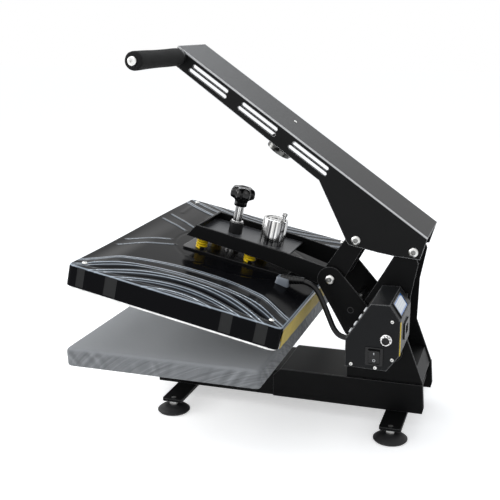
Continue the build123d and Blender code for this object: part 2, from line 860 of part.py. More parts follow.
# Upper platen cover: a shallow shell, its rear wall cut back over the insulation
cavity_top = cover_crown - 10.0
cover_inner_corner = cover_corner - cover_wall
with BuildPart() as platen_cover:
    with BuildSketch(platen_plane(-cover_side)):
        RectangleRounded(cover_width, cover_length, cover_corner)
    extrude(amount=cover_side + cover_crown)
    crown_face = platen_cover.faces().sort_by_distance(platen_plane(cover_crown).origin)[0]
    fillet(crown_face.edges(), cover_crown - 1)
    with BuildSketch(platen_plane(-cover_side)):
        RectangleRounded(cover_width - 2 * cover_wall, cover_length - 2 * cover_wall, cover_inner_corner)
    extrude(amount=cover_side + cavity_top, mode=Mode.SUBTRACT)
    with BuildSketch(platen_plane(-cover_side, 0, cover_length / 2)):
        Rectangle(cover_width - 2 * cover_corner, 4 * cover_wall)
    extrude(amount=cover_side - rear_wall_cut, mode=Mode.SUBTRACT)
platen_cover.part.label = "platen_cover"
export_step(platen_cover.part, "parts/platen_cover.step")


def slab_in_cover(bottom, height):
    """A slab that fills the cover's inside and reaches through the cut in its rear wall."""
    with BuildPart() as slab:
        with BuildSketch(platen_plane(bottom)):
            RectangleRounded(cover_width - 2 * cover_wall, cover_length - 2 * cover_wall, cover_inner_corner)
            with Locations((0, cover_length / 2 - cover_wall)):
                Rectangle(cover_width - 2 * cover_corner - 1, 2 * (cover_wall - heater_setback))
        extrude(amount=height)
    return slab


heating_plate = slab_in_cover(heater_bottom, heater_height)
heating_plate.part.label = "heating_plate"
export_step(heating_plate.part, "parts/heating_plate.step")

insulation_band = slab_in_cover(heater_top, insulation_height)
insulation_band.part.label = "insulation_band"
export_step(insulation_band.part, "parts/insulation_band.step")

# Mounting plate on the cover with a seat post inside each lift spring
spring_spots = [(x, s) for x in (-spring_across, spring_across) for s in (spring_front, spring_rear)]
seat_post_radius = 6.0
seat_post_height = 14.0
with BuildPart() as mount_plate:
    with BuildSketch(platen_plane(cover_crown, 0, (mount_plate_front + mount_plate_rear) / 2)):
        RectangleRounded(mount_plate_width, mount_plate_rear - mount_plate_front, 8)
    extrude(amount=mount_plate_height)
    with BuildSketch(platen_plane(spring_base)):
        with Locations(*spring_spots):
            Circle(seat_post_radius)
    extrude(amount=seat_post_height)
mount_plate.part.label = "mount_plate"
export_step(mount_plate.part, "parts/mount_plate.step")

# Lift springs: each a helix of quarter turns, every quarter a pair of tangent arcs
coil_height = spring_top - spring_base - 2 * spring_wire
coil_pitch = coil_height / spring_turns


def coil_point(turn):
    """A point of the spring's centre line and its direction, at so many turns."""
    angle = 2 * pi * turn
    rise = coil_pitch / (2 * pi)
    spot = Vector(spring_radius * cos(angle), spring_radius * sin(angle), coil_pitch * turn)
    way = Vector(-spring_radius * sin(angle), spring_radius * cos(angle), rise)
    return spot, way.normalized()


def biarc(start, start_way, end, end_way):
    """The joint of two arcs tangent to each other and to both given directions, and its direction."""
    span = end - start
    both = start_way + end_way
    square = 2 * (1 - start_way.dot(end_way))
    reach = (sqrt(span.dot(both) ** 2 + square * span.dot(span)) - span.dot(both)) / square
    before = start + start_way * reach
    after = end - end_way * reach
    return (before + after) * 0.5, (after - before).normalized()


with BuildPart() as spring_one:
    with BuildLine() as coil_line:
        for quarter in range(4 * spring_turns):
            start, start_way = coil_point(quarter / 4)
            end, end_way = coil_point((quarter + 1) / 4)
            joint, joint_way = biarc(start, start_way, end, end_way)
            TangentArc(start, joint, tangent=start_way)
            TangentArc(joint, end, tangent=joint_way)
    first_spot, first_way = coil_point(0)
    with BuildSketch(Plane(origin=first_spot, z_dir=first_way)):
        Circle(spring_wire)
    sweep(path=coil_line.wires()[0])

with BuildPart() as lift_springs:
    for x, s in spring_spots:
        add(spring_one.part.moved(platen_plane(spring_base + spring_wire, x, s).location))
lift_springs.part.label = "lift_springs"
export_step(lift_springs.part, "parts/lift_springs.step")

coil_steps = 36
coil_samples = [coil_point(step / coil_steps)[0] for step in range(coil_steps * spring_turns + 1)]
coil_gap = min(
    (coil_samples[i] - coil_samples[j]).length - 2 * spring_wire
    for i in range(len(coil_samples))
    for j in range(i + coil_steps // 2, len(coil_samples))
)
print("spring's least gap to itself", round(coil_gap, 2))

# Screws at the corners of the cover, set in from its sides, front and rear
screw_across = cover_width / 2 - 22
screw_front = cover_length / 2 - 24
screw_rear = cover_length / 2 - 26
cover_screw_spots = [(x, s) for x in (-screw_across, screw_across) for s in (-screw_front, screw_rear)]
with BuildPart() as cover_screws:
    with BuildSketch(platen_plane(cover_crown)):
        with Locations(*cover_screw_spots):
            Circle(5)
    extrude(amount=2.4)
    with BuildSketch(platen_plane(cover_crown + 2.4)):
        with Locations(*cover_screw_spots):
            RegularPolygon(2.4, 6)
    extrude(amount=-1.4, mode=Mode.SUBTRACT)
cover_screws.part.label = "cover_screws"
export_step(cover_screws.part, "parts/cover_screws.step")

# Strain relief on the cover: a saddle under a round body that points straight back
cable_start = (cable_route[0][0], gland_front + gland_length, cable_route[0][2])
with BuildPart() as strain_relief:
    with BuildSketch(Plane.XZ.offset(-gland_front)):
        with Locations((cable_start[0], cable_start[2])):
            Circle(gland_radius)
    extrude(amount=-gland_length)
    with BuildSketch(platen_plane(cover_crown, cable_start[0], gland_saddle_along)):
        Rectangle(2 * gland_radius + 6, gland_length - 4)
    extrude(amount=gland_radius)
strain_relief.part.label = "strain_relief"
export_step(strain_relief.part, "parts/strain_relief.step")

# Control box: bracket plate, casing, display, switch, connector, inlet and screws
box_outline = [
    (198.0, 167.0),
    (198.0, 222.0),
    (243.6, 294.0),
    (279.0, 294.5),
    (300.0, 264.0),
    (300.0, 197.0),
    (277.0, 165.0),
]
box_front = box_outline[0][0]
box_rear = box_outline[4][0]
box_top = box_outline[3][1]
inlet_height_at = (box_outline[4][1] + box_outline[5][1]) / 2
casing_start = box_inner + box_back_plate


def bevel_plane(first, last, across):
    """The plane on a sloping face of the box, from one corner of its outline to the next."""
    dy, dz = last[0] - first[0], last[1] - first[1]
    run = hypot(dy, dz)
    middle = ((first[0] + last[0]) / 2, (first[1] + last[1]) / 2)
    return Plane(origin=(across, *middle), x_dir=(1, 0, 0), z_dir=(0, -dz / run, dy / run))


standoff_front = box_rear - 22
standoff_rear = box_rear - 8
standoff_top = box_top - 14.5
with BuildPart() as box_bracket:
    with BuildSketch(side(box_inner)):
        with BuildLine():
            Polyline(*box_outline, close=True)
        make_face()
    extrude(amount=box_back_plate)
    with BuildSketch(side(tower_outer)):
        with BuildLine():
            Polyline(
                (standoff_front, box_outline[5][1]),
                (standoff_rear, box_outline[5][1]),
                (standoff_rear + 2, standoff_top),
                (standoff_front, standoff_top),
                close=True,
            )
        make_face()
    extrude(amount=box_inner - tower_outer)
box_bracket.part.label = "box_bracket"
export_step(box_bracket.part, "parts/box_bracket.step")

vent_width = 46.0
vent_height = 5.0
vent_spacing = 17.0
vent_count = 4
display_plane = bevel_plane(box_outline[3], box_outline[4], display_middle_across)
vent_plane = bevel_plane(box_outline[1], box_outline[2], box_outer - 12 - vent_width / 2)
with BuildPart() as box_casing:
    with BuildSketch(side(casing_start)) as casing_side:
        with BuildLine():
            Polyline(*box_outline, close=True)
        make_face()
    extrude(amount=box_outer - casing_start)
    fillet(box_casing.edges().group_by(Axis.X)[-1], 1.5)
    with BuildSketch(side(casing_start)):
        offset(casing_side.sketch_local, amount=-box_wall, kind=Kind.INTERSECTION)
    extrude(amount=box_outer - casing_start - box_wall, mode=Mode.SUBTRACT)
    with BuildSketch(vent_plane):
        with GridLocations(1, vent_spacing, 1, vent_count):
            SlotOverall(vent_width, vent_height)
    extrude(amount=-2 * box_wall, mode=Mode.SUBTRACT)
    with BuildSketch(side(box_outer)):
        with Locations(switch_at):
            Rectangle(rocker_width + 1, rocker_length + 4)
    extrude(amount=-2 * box_wall, mode=Mode.SUBTRACT)
    with BuildSketch(Plane.XZ.offset(-box_rear)):
        with Locations((inlet_across, inlet_height_at)):
            Rectangle(inlet_width - 16, inlet_tall - 8)
    extrude(amount=2 * box_wall, mode=Mode.SUBTRACT)
box_casing.part.label = "box_casing"
export_step(box_casing.part, "parts/box_casing.step")

with BuildPart() as display_bezel:
    with BuildSketch(display_plane):
        RectangleRounded(display_width, display_height, 2)
        Rectangle(display_width - 2 * display_frame, display_height - 2 * display_frame, mode=Mode.SUBTRACT)
    extrude(amount=display_proud)
display_bezel.part.label = "display_bezel"
export_step(display_bezel.part, "parts/display_bezel.step")

with BuildPart() as display_window:
    with BuildSketch(display_plane):
        Rectangle(display_width - 2 * display_frame, display_height - 2 * display_frame)
    extrude(amount=display_proud - 1)
display_window.part.label = "display_window"
export_step(display_window.part, "parts/display_window.step")

with BuildPart() as switch_frame:
    with BuildSketch(side(box_outer)):
        with Locations(switch_at):
            RectangleRounded(switch_width, switch_height, 2)
            Rectangle(rocker_width + 1, rocker_length + 4, mode=Mode.SUBTRACT)
    extrude(amount=switch_proud)
switch_frame.part.label = "switch_frame"
export_step(switch_frame.part, "parts/switch_frame.step")

# Rocker at rest with its lower half pressed in, its pivot just behind the box's face
rocker_pivot_depth = 2.0
rocker_pin_radius = 1.6
rocker_centre = (box_outer - rocker_pivot_depth, switch_at[0] - rocker_width / 2, switch_at[1])
rocker_lean = radians(rocker_tilt)
rocker_plane = Plane(
    origin=rocker_centre,
    x_dir=(cos(rocker_lean), 0, -sin(rocker_lean)),
    z_dir=(0, -1, 0),
)
with BuildPart() as switch_rocker:
    with BuildSketch(rocker_plane):
        with BuildLine():
            Polyline(
                (-4, -rocker_length / 2),
                (5.5, -rocker_length / 2),
                (4, 0),
                (5.5, rocker_length / 2),
                (-4, rocker_length / 2),
                close=True,
            )
        make_face()
        Circle(rocker_pin_radius, mode=Mode.SUBTRACT)
    extrude(amount=-rocker_width)
switch_rocker.part.label = "switch_rocker"
export_step(switch_rocker.part, "parts/switch_rocker.step")

with BuildPart() as round_connector:
    with BuildSketch(side(box_outer)):
        with Locations(connector_at):
            Circle(connector_radius)
    extrude(amount=2.5)
    with BuildSketch(side(box_outer + 2.5)):
        with Locations(connector_at):
            RegularPolygon(connector_radius - 1.5, 6)
    extrude(amount=4)
    with BuildSketch(side(box_outer + 6.5)):
        with Locations(connector_at):
            Circle(connector_radius - 3.5)
    extrude(amount=3)
    with BuildSketch(side(box_outer + 9.5)):
        with Locations(connector_at):
            Circle(connector_radius - 5)
    extrude(amount=-5, mode=Mode.SUBTRACT)
round_connector.part.label = "round_connector"
export_step(round_connector.part, "parts/round_connector.step")

# Mains inlet on the box's rear face, with three blades set back in its socket
inlet_flange = 3.0
inlet_depth = 18.0
blade_length = 10.0
with BuildPart() as mains_inlet:
    with BuildSketch(Plane.XZ.offset(-box_rear)):
        with Locations((inlet_across, inlet_height_at)):
            RectangleRounded(inlet_width, inlet_tall, 3)
    extrude(amount=-inlet_flange)
    with BuildSketch(Plane.XZ.offset(-box_rear)):
        with Locations((inlet_across, inlet_height_at)):
            Rectangle(inlet_width - 16, inlet_tall - 8)
    extrude(amount=inlet_depth)
    with BuildSketch(Plane.XZ.offset(-box_rear - inlet_flange)):
        with Locations((inlet_across, inlet_height_at)):
            Rectangle(inlet_width - 22, inlet_tall - 14)
    extrude(amount=inlet_depth, mode=Mode.SUBTRACT)
    with BuildSketch(Plane.XZ.offset(-box_rear - inlet_flange + inlet_depth)):
        with Locations((inlet_across - 7, inlet_height_at - 2), (inlet_across + 7, inlet_height_at - 2)):
            Rectangle(2, 4)
        with Locations((inlet_across, inlet_height_at + 3)):
            Rectangle(2, 4)
    extrude(amount=-blade_length)
mains_inlet.part.label = "mains_inlet"
export_step(mains_inlet.part, "parts/mains_inlet.step")

box_screw_spots = [(210.0, 173.0), (287.0, 189.0), (285.0, 263.0), (256.0, 170.3)]
with BuildPart() as box_screws:
    with BuildSketch(side(box_outer)):
        with Locations(*box_screw_spots):
            Circle(3.4)
    extrude(amount=2.2)
    with BuildSketch(side(box_outer + 2.2)):
        with Locations(*box_screw_spots):
            RegularPolygon(1.8, 6)
    extrude(amount=-1.2, mode=Mode.SUBTRACT)
box_screws.part.label = "box_screws"
export_step(box_screws.part, "parts/box_screws.step")

# Cable from the strain relief down into a short gland on the box's front
cable_end = (cable_route[-1][0], cable_route[-1][1] + cable_entry_gap, cable_route[-1][2])
with BuildPart() as cable_gland:
    with BuildSketch(Plane.XZ.offset(-cable_end[1])):
        with Locations((cable_end[0], cable_end[2])):
            RegularPolygon(gland_radius + 1, 6)
    extrude(amount=-(box_front - cable_end[1]))
cable_gland.part.label = "cable_gland"
export_step(cable_gland.part, "parts/cable_gland.step")

cable_points = [Vector(*spot) for spot in (cable_start, *cable_route, cable_end)]
cable_runs = [(b - a).length for a, b in zip(cable_points, cable_points[1:])]
cable_radii = []
for i in range(1, len(cable_points) - 1):
    turn = radians((cable_points[i] - cable_points[i - 1]).get_angle(cable_points[i + 1] - cable_points[i]))
    cable_radii.append(0.45 * min(cable_runs[i - 1], cable_runs[i]) / tan(turn / 2))
print("cable radii", [round(radius, 1) for radius in cable_radii])

with BuildPart() as platen_cable:
    with BuildLine() as cable_line:
        FilletPolyline(*cable_points, radius=cable_radii)
    with BuildSketch(Plane(origin=cable_points[0], z_dir=cable_points[1] - cable_points[0])):
        Circle(cable_radius)
    sweep(path=cable_line.wires()[0])
platen_cable.part.label = "platen_cable"
export_step(platen_cable.part, "parts/platen_cable.step")
cable_volume = pi * cable_radius**2 * cable_line.wires()[0].length
print("cable volume over section times length", round(platen_cable.part.volume / cable_volume, 4))

# Gas strut: cylinder on the tower's foot pin, rod with a wide eye on the press arm's pin
strut_dy = strut_head[0] - strut_foot[0]
strut_dz = strut_head[1] - strut_foot[1]
strut_length = hypot(strut_dy, strut_dz)
strut_way = (0, strut_dy / strut_length, strut_dz / strut_length)


def strut_plane(distance):
    """The plane square to the strut, at a distance from its foot pin."""
    origin = (0, strut_foot[0] + strut_way[1] * distance, strut_foot[1] + strut_way[2] * distance)
    return Plane(origin=origin, x_dir=(1, 0, 0), z_dir=strut_way)


with BuildPart() as strut_cylinder:
    with BuildSketch(strut_plane(0)):
        Circle(strut_body_radius)
    extrude(amount=strut_body_length)
    with BuildSketch(side(-strut_eye_width / 2)):
        with Locations(strut_foot):
            Circle(strut_eye_radius)
    extrude(amount=strut_eye_width)
    with BuildSketch(side(-strut_body_radius)):
        with Locations(strut_foot):
            Circle(tie_rod_radius + running)
    extrude(amount=2 * strut_body_radius, mode=Mode.SUBTRACT)
    with BuildSketch(strut_plane(2 * strut_eye_radius)):
        Circle(strut_rod_radius + running)
    extrude(amount=strut_body_length, mode=Mode.SUBTRACT)
strut_cylinder.part.label = "strut_cylinder"
export_step(strut_cylinder.part, "parts/strut_cylinder.step")

strut_rod_start = 3 * strut_eye_radius + 20
with BuildPart() as strut_rod:
    with BuildSketch(strut_plane(strut_rod_start)):
        Circle(strut_rod_radius)
    extrude(amount=strut_length - strut_rod_start)
    with BuildSketch(side(-strut_eye_width / 2)):
        with Locations(strut_head):
            Circle(strut_eye_radius + strut_head_play)
    extrude(amount=strut_eye_width)
    with BuildSketch(side(-strut_eye_width / 2)):
        with Locations(strut_head):
            Circle(strut_pin_radius + strut_head_play)
    extrude(amount=strut_eye_width, mode=Mode.SUBTRACT)
strut_rod.part.label = "strut_rod"
export_step(strut_rod.part, "parts/strut_rod.step")
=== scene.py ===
import math

import bmesh
import bpy
import numpy as np
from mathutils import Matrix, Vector


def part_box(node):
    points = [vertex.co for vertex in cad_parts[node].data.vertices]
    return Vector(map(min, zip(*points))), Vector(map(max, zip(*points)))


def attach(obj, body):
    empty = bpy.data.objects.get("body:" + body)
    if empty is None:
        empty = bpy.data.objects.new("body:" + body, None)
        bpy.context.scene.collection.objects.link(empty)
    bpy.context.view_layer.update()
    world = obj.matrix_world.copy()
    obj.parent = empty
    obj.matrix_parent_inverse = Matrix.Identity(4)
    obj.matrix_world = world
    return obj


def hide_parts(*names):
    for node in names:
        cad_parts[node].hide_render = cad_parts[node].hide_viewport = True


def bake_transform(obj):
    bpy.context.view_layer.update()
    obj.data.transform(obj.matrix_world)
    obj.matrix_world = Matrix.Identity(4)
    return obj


# The flat heat press dressed for its picture. +X is the machine's right side, +Z is up.
# Sizes are in millimetres and turn to metres with MM; shader distances are in metres.

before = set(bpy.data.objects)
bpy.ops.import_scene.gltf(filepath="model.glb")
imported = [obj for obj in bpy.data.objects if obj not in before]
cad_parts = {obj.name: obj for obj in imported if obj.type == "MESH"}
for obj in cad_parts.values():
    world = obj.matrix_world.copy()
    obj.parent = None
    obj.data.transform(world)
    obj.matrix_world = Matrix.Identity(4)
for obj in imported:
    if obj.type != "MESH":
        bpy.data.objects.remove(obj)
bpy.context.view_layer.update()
scene = bpy.context.scene
MM = 0.001

# Upper platen: its lean, and its middle as (y, z)
TILT = math.radians(11.55)
PLATEN_Y, PLATEN_Z = -107.15, 308.15
# Open handle arm: its slope, its pivot, and its top and side as seen from the pivot
ARM_TILT = math.radians(35.0)
PIVOT_Y, PIVOT_Z = 301.0, 364.5
ARM_TOP, ARM_HALF = 40.0, 78.0
# Upper cover, in the platen's own plane
COVER_HALF = (320.0, 216.0)
COVER_CORNER = 10.0
RIM_HEIGHT, CROWN = 2.5, 13.0
# Pad on the lower platen
PAD_HALF = (320.0, 200.0)
PAD_CORNER = 8.0
PAD_MIDDLE = -135.0
PAD_TOP, PAD_BOTTOM = 182.6, 142.6

# Ridges moulded in the cover, as arcs (across, along, radius, strength), and its straight creases
RIDGE_ARCS = ((496, 8, 310, 1.0), (496, 8, 303, 0.9), (538, 5, 312, 1.0), (541, 5, 306, 0.7), (517, 5, 265, 1.0))
RIDGE_ARCS += ((519, 5, 258, 0.8), (522, 4, 241, 1.0), (524, 4, 236, 0.7), (454, 8, 151, 1.0), (466, 8, 156, 0.6))
CREASES = (((102, -204), (41, -120)), ((146, -200), (69, -100)))
# A raised outline at the cover's far front, and the flat panels in its side walls
FRAME_RIB = ((-177, -183), (-300, -192), (-281, -119), (-166, -117))
WALL_PANELS = ((-195, -179), (-136, -111), (100, 123), (168, 191))
# Height of the lowest edge of the cover's open rear side
REAR_OPENING = -7.0


def in_metres(x, y, z):
    """Points in metres from millimetres along each axis."""
    return np.stack(np.broadcast_arrays(x, y, z), axis=-1) * MM


def link(thing):
    """Puts an object into the scene."""
    scene.collection.objects.link(thing)
    return thing


def mesh_piece(name, points, faces, finish, smooth=True):
    """A mesh object with its place in its vertices, from points in metres."""
    mesh = bpy.data.meshes.new(name)
    mesh.from_pydata([tuple(p) for p in points], [], [tuple(f) for f in faces])
    mesh.update()
    if smooth:
        mesh.shade_smooth()
    piece = link(bpy.data.objects.new(name, mesh))
    if finish is not None:
        mesh.materials.append(finish)
    return piece


def evaluated_mesh(thing):
    """A plain mesh of the object as it stands, modifiers and all."""
    bpy.context.view_layer.update()
    return bpy.data.meshes.new_from_object(thing.evaluated_get(bpy.context.evaluated_depsgraph_get()))


def aim_at(holder, place, target):
    """Stands a camera or lamp at a place and turns it to its target."""
    holder.location = place
    holder.rotation_mode = "QUATERNION"
    holder.rotation_quaternion = (Vector(target) - Vector(place)).to_track_quat("-Z", "Y")


def set_camera():
    """The camera stands where the photograph was taken from."""
    camera = link(bpy.data.objects.new("camera", bpy.data.cameras.new("camera")))
    camera.data.sensor_width = 36.0
    camera.data.lens = 64.67
    camera.data.clip_end = 60.0
    aim_at(camera, (1.7842, 0.5169, 0.7939), (0.0, -0.0576, 0.3234))
    scene.camera = camera


set_camera()

# Nodes, and shader maths written as expressions


def feed(tree, socket, value):
    """Links another node's output to the socket, or sets the socket's own value."""
    value = getattr(value, "socket", value)
    if isinstance(value, bpy.types.NodeSocket):
        tree.links.new(value, socket)
    elif isinstance(value, tuple) and len(value) == 3 and len(socket.default_value) == 4:
        socket.default_value = (*value, 1.0)
    else:
        socket.default_value = value


def add_node(tree, kind, inputs=None, **settings):
    """A node of any tree: its settings first, a ramp's stops among them, then the values or links of its sockets."""
    made = tree.nodes.new(kind)
    for key, value in settings.items():
        if key == "stops":
            ramp = made.color_ramp.elements
            while len(ramp) < len(value):
                ramp.new(0.5)
            for element, (place, colour) in zip(ramp, value):
                element.position = place
                element.color = (*colour, 1.0)
        else:
            setattr(made, key, value)
    for key, value in (inputs or {}).items():
        feed(tree, made.inputs[key], value)
    return made


class Signal:
    """A shader socket that takes part in sums and products."""

    def __init__(self, finish, socket):
        self.finish, self.socket = finish, socket

    def __add__(self, other):
        return self.finish.maths("ADD", self, other)

    def __sub__(self, other):
        return self.finish.maths("SUBTRACT", self, other)

    def __rsub__(self, other):
        return self.finish.maths("SUBTRACT", other, self)

    def __mul__(self, other):
        return self.finish.maths("MULTIPLY", self, other)

    def __abs__(self):
        return self.finish.maths("ABSOLUTE", self)

    __radd__ = __add__
    __rmul__ = __mul__


class Finish:
    """A material with one principled shader and one maker for every other node."""

    def __init__(self, name):
        self.material = bpy.data.materials.new(name)
        self.material.use_nodes = True
        self.tree = self.material.node_tree
        self.tree.nodes.clear()
        self.shader = add_node(self.tree, "ShaderNodeBsdfPrincipled")
        add_node(self.tree, "ShaderNodeOutputMaterial", {0: self.shader.outputs[0]})

    def node(self, kind, inputs=None, out=0, **settings):
        return Signal(self, add_node(self.tree, kind, inputs, **settings).outputs[out])

    def dress(self, colour, rough, **others):
        """Fills the shader's sockets and hands back the material."""
        for name, value in {"Base_Color": colour, "Roughness": rough, **others}.items():
            feed(self.tree, self.shader.inputs[name.replace("_", " ")], value)
        return self.material

    def maths(self, operation, first, second=0.0):
        return self.node("ShaderNodeMath", {0: first, 1: second}, operation=operation)

    def mix(self, factor, first, second):
        return self.node("ShaderNodeMix", {0: factor, 6: first, 7: second}, 2, data_type="RGBA")

    def steps(self, value, low, high):
        """From 0 at low to 1 at high, eased at both ends."""
        inputs = {"Value": value, "From Min": low, "From Max": high}
        return self.node("ShaderNodeMapRange", inputs, interpolation_type="SMOOTHSTEP")

    def place(self, stretch=(1.0, 1.0, 1.0)):
        """Object coordinates, stretched."""
        return self.node("ShaderNodeMapping", {"Vector": self.node("ShaderNodeTexCoord", out=3), "Scale": stretch})

    def axes(self):
        """Across, back and up from the machine's origin."""
        parts = self.node("ShaderNodeSeparateXYZ", {0: self.node("ShaderNodeTexCoord", out=3)}).socket.node.outputs
        return [Signal(self, part) for part in parts]

    def platen_axes(self):
        """Across, along and up from the middle of the leaning platen."""
        x, y, z = self.axes()
        y, z = y - PLATEN_Y * MM, z - PLATEN_Z * MM
        return x, y * math.cos(TILT) - z * math.sin(TILT), y * math.sin(TILT) + z * math.cos(TILT)

    def facing(self, way):
        """1 where the surface faces that way, 0 where it stands across it."""
        flat = self.node("ShaderNodeNewGeometry", out=1)
        return self.node("ShaderNodeVectorMath", {0: way, 1: flat}, 1, operation="DOT_PRODUCT")

    def noise(self, scale, detail=2.0, rough=0.5, where=None):
        inputs = {"Vector": where or self.place(), "Scale": scale, "Detail": detail, "Roughness": rough}
        return self.node("ShaderNodeTexNoise", inputs)

    def noise_along(self, line, scale, detail):
        """Noise that changes along one value only."""
        inputs = {"W": line, "Scale": scale, "Detail": detail}
        return self.node("ShaderNodeTexNoise", inputs, noise_dimensions="1D")

    def painted(self, name):
        """A value stored on the piece's points."""
        return self.node("ShaderNodeAttribute", out=2, attribute_name=name)

    def bump(self, height, strength, depth, under=None):
        inputs = {"Height": height, "Strength": strength, "Distance": depth}
        if under is not None:
            inputs["Normal"] = under
        return self.node("ShaderNodeBump", inputs)

    def round_edges(self, radius):
        """The normal of edges as if they were rounded, and how much of an edge each point is."""
        eased = self.node("ShaderNodeBevel", {"Radius": radius}, samples=4)
        return eased, self.steps(1.0 - self.facing(eased), 0.004, 0.11)


def shade(colour, factor, extra=0.0):
    """The colour made darker or lighter."""
    return tuple(c * factor + extra for c in colour)


# Finishes


def arm_edges(coat):
    """Where the handle arm's top gets a painted highlight: along both of its long edges, where the sheet is bent."""
    x, y, z = coat.axes()
    back, up = (y - PIVOT_Y * MM) * math.sin(ARM_TILT), (z - PIVOT_Z * MM) * math.cos(ARM_TILT)
    depth = ARM_TOP * MM - back - up
    beside = coat.steps(abs(x), (ARM_HALF - 3.0) * MM, (ARM_HALF - 1.4) * MM)
    return beside * coat.steps(depth, 0.0040, 0.0022)


def powder_coat(name, colour, sheen=0.08, rough=0.42, edge_highlight=0.14, grain=1.0, top_sheen=0.0):
    """Fine-grained powder coat, a little scuffed and smoother along its edges, which a painted highlight lightens.
    On the arm, faces that look up also get a painted lighter sheen.
    """
    coat = Finish(name)
    eased, edges = coat.round_edges(0.0022)
    peel = coat.noise(1500.0, 3.0, 0.6)
    scuffs = coat.steps(coat.noise(160.0, 5.0, 0.7), 0.62, 0.8) * coat.steps(coat.noise(7.0, 2.0), 0.5, 0.7)
    base = coat.mix(coat.noise(9.0, 4.0, 0.6), shade(colour, 0.8), shade(colour, 1.25, 0.001))
    if top_sheen:
        # Painted sheen: faces that look up are lightened, with a fine speckle
        upward_sheen = coat.steps(coat.facing((0.0, 0.0, 1.0)), 0.55, 0.8) * (0.45 + 0.9 * coat.noise(520.0, 3.0, 0.7))
        base = coat.mix(upward_sheen, base, (top_sheen, top_sheen, top_sheen * 1.05))
        edges = coat.maths("MAXIMUM", edges, arm_edges(coat))
    # Painted highlight: the edges are lightened by the edge amount
    base = coat.mix(edges * 0.8, base, shade(colour, 1.0, edge_highlight))
    dull = rough + 0.1 * peel - 0.14 * edges + 0.1 * scuffs
    return coat.dress(base, dull, Normal=coat.bump(peel, 0.16 * grain, 0.0004, eased), Specular_IOR_Level=sheen)


def gloss_shell():
    """Glossy black moulded cover: the crests of its ridges and its rim carry a painted pale blue highlight, panels
    in its walls are duller.
    """
    shell = Finish("cover_gloss")
    x, along, height = shell.platen_axes()
    side = abs(x)
    # Masks for a painted highlight on the crests of the ridges and creases, and for a softer painted glow beside
    # them
    crest, glow = 0.0, 0.0
    for cx, cs, radius, share in RIDGE_ARCS:
        dx, ds = side - cx * MM, along - cs * MM
        gap = abs(shell.maths("SQRT", dx * dx + ds * ds) - radius * MM)
        crest = shell.maths("MAXIMUM", crest, shell.steps(gap, 0.0019, 0.0005) * share)
        glow = shell.maths("MAXIMUM", glow, shell.steps(gap, 0.0085, 0.0) * share)
    for start, end in CREASES:
        run = Vector(end) - Vector(start)
        ux, us = run.normalized()
        dx, ds = side - start[0] * MM, along - start[1] * MM
        over, gap = dx * ux + ds * us, abs(dx * us - ds * ux)
        inside = shell.steps(over, 0.0, 0.006) * shell.steps(over, run.length * MM, (run.length - 6) * MM)
        crest = shell.maths("MAXIMUM", crest, 0.42 * (shell.steps(gap, 0.0044, 0.0020) * inside))
    # The painted highlight flickers along its length, stays off the walls and also runs along the rim
    streaks = 0.55 + 0.6 * shell.noise(26.0, 3.0, 0.6)
    lit = (crest * streaks + 0.10 * glow) * shell.steps(height, -0.002, 0.0035)
    lit = shell.maths("MINIMUM", lit + 0.9 * (shell.painted("rim") * streaks), 1.0)
    panel = shell.painted("panel")
    # Painted highlight: pale blue where the masks are on
    base = shell.mix(lit, (0.0035, 0.0036, 0.0044), (0.40, 0.46, 0.53))
    base = shell.mix(panel, base, (0.034, 0.034, 0.034))
    rough = 0.09 + 0.05 * shell.noise(14.0, 3.0, 0.6) + 0.03 * shell.noise(240.0, 4.0, 0.7) + 0.2 * panel
    swells = shell.bump(shell.noise(55.0, 2.0), 0.05, 0.0006)
    return shell.dress(base, rough, Normal=swells, Specular_IOR_Level=0.032, Coat_Weight=0.7 * lit)


def bright_metal(name, colour, rough=0.2, turned=(40.0, 40.0, 2600.0), worn=0.25):
    """Plated or machined steel with fine lathe or brush lines; a socket sunk in it is darkened as painted shade."""
    metal = Finish(name)
    eased, edges = metal.round_edges(0.0005)
    lines = metal.noise(1.0, 2.0, 0.6, metal.place(turned))
    cloud = metal.steps(metal.noise(60.0, 3.0, 0.6), 0.35, 0.65)
    base = metal.mix(cloud, shade(colour, 1.0 - worn), colour)
    # Painted shade in the sunk socket
    base = metal.mix(0.7 * metal.painted("recess"), base, (0.01, 0.01, 0.01))
    dull = rough + 0.16 * lines - 0.05 * edges
    return metal.dress(base, dull, Normal=metal.bump(lines, 0.12, 0.0002, eased), Metallic=1.0)


def chrome_with_painted_reflections(name, along):
    """Polished plating on a round post of the platen, with painted reflections: tall dark and light bands round its
    side.
    """
    metal = Finish(name)
    x, back, _ = metal.platen_axes()
    # Painted reflection: dark and light bands that follow the angle round the post
    waves = metal.noise_along(metal.maths("ARCTAN2", back - along * MM, x), 3.6, 4.0)
    stops = [(0.36, (0.04, 0.04, 0.045)), (0.45, (0.5, 0.5, 0.5)), (0.5, (0.07, 0.07, 0.075))]
    stops += [(0.6, (0.9, 0.9, 0.88))]
    tone = metal.node("ShaderNodeValToRGB", {0: waves}, stops=stops)
    flat = metal.steps(metal.facing((0.0, 0.2, 0.98)), 0.5, 0.8)
    base = metal.mix(flat, tone, (0.62, 0.62, 0.61))
    return metal.dress(base, 0.12 + 0.1 * metal.noise(900.0, 2.0), Metallic=1.0)


def plain_plastic(name, colour, rough=0.35, sheen=0.3, grain=500.0):
    """Moulded plastic with a fine texture."""
    plastic = Finish(name)
    eased, edges = plastic.round_edges(0.0008)
    skin = plastic.noise(grain, 3.0, 0.6)
    base = plastic.mix(plastic.noise(12.0, 2.0), shade(colour, 0.85), colour)
    # Painted highlight: the edges are lightened a little
    base = plastic.mix(edges * 0.6, base, shade(colour, 1.0, 0.02))
    fine = plastic.bump(skin, 0.1, 0.0003, eased)
    return plastic.dress(base, rough + 0.12 * skin, Normal=fine, Specular_IOR_Level=sheen)


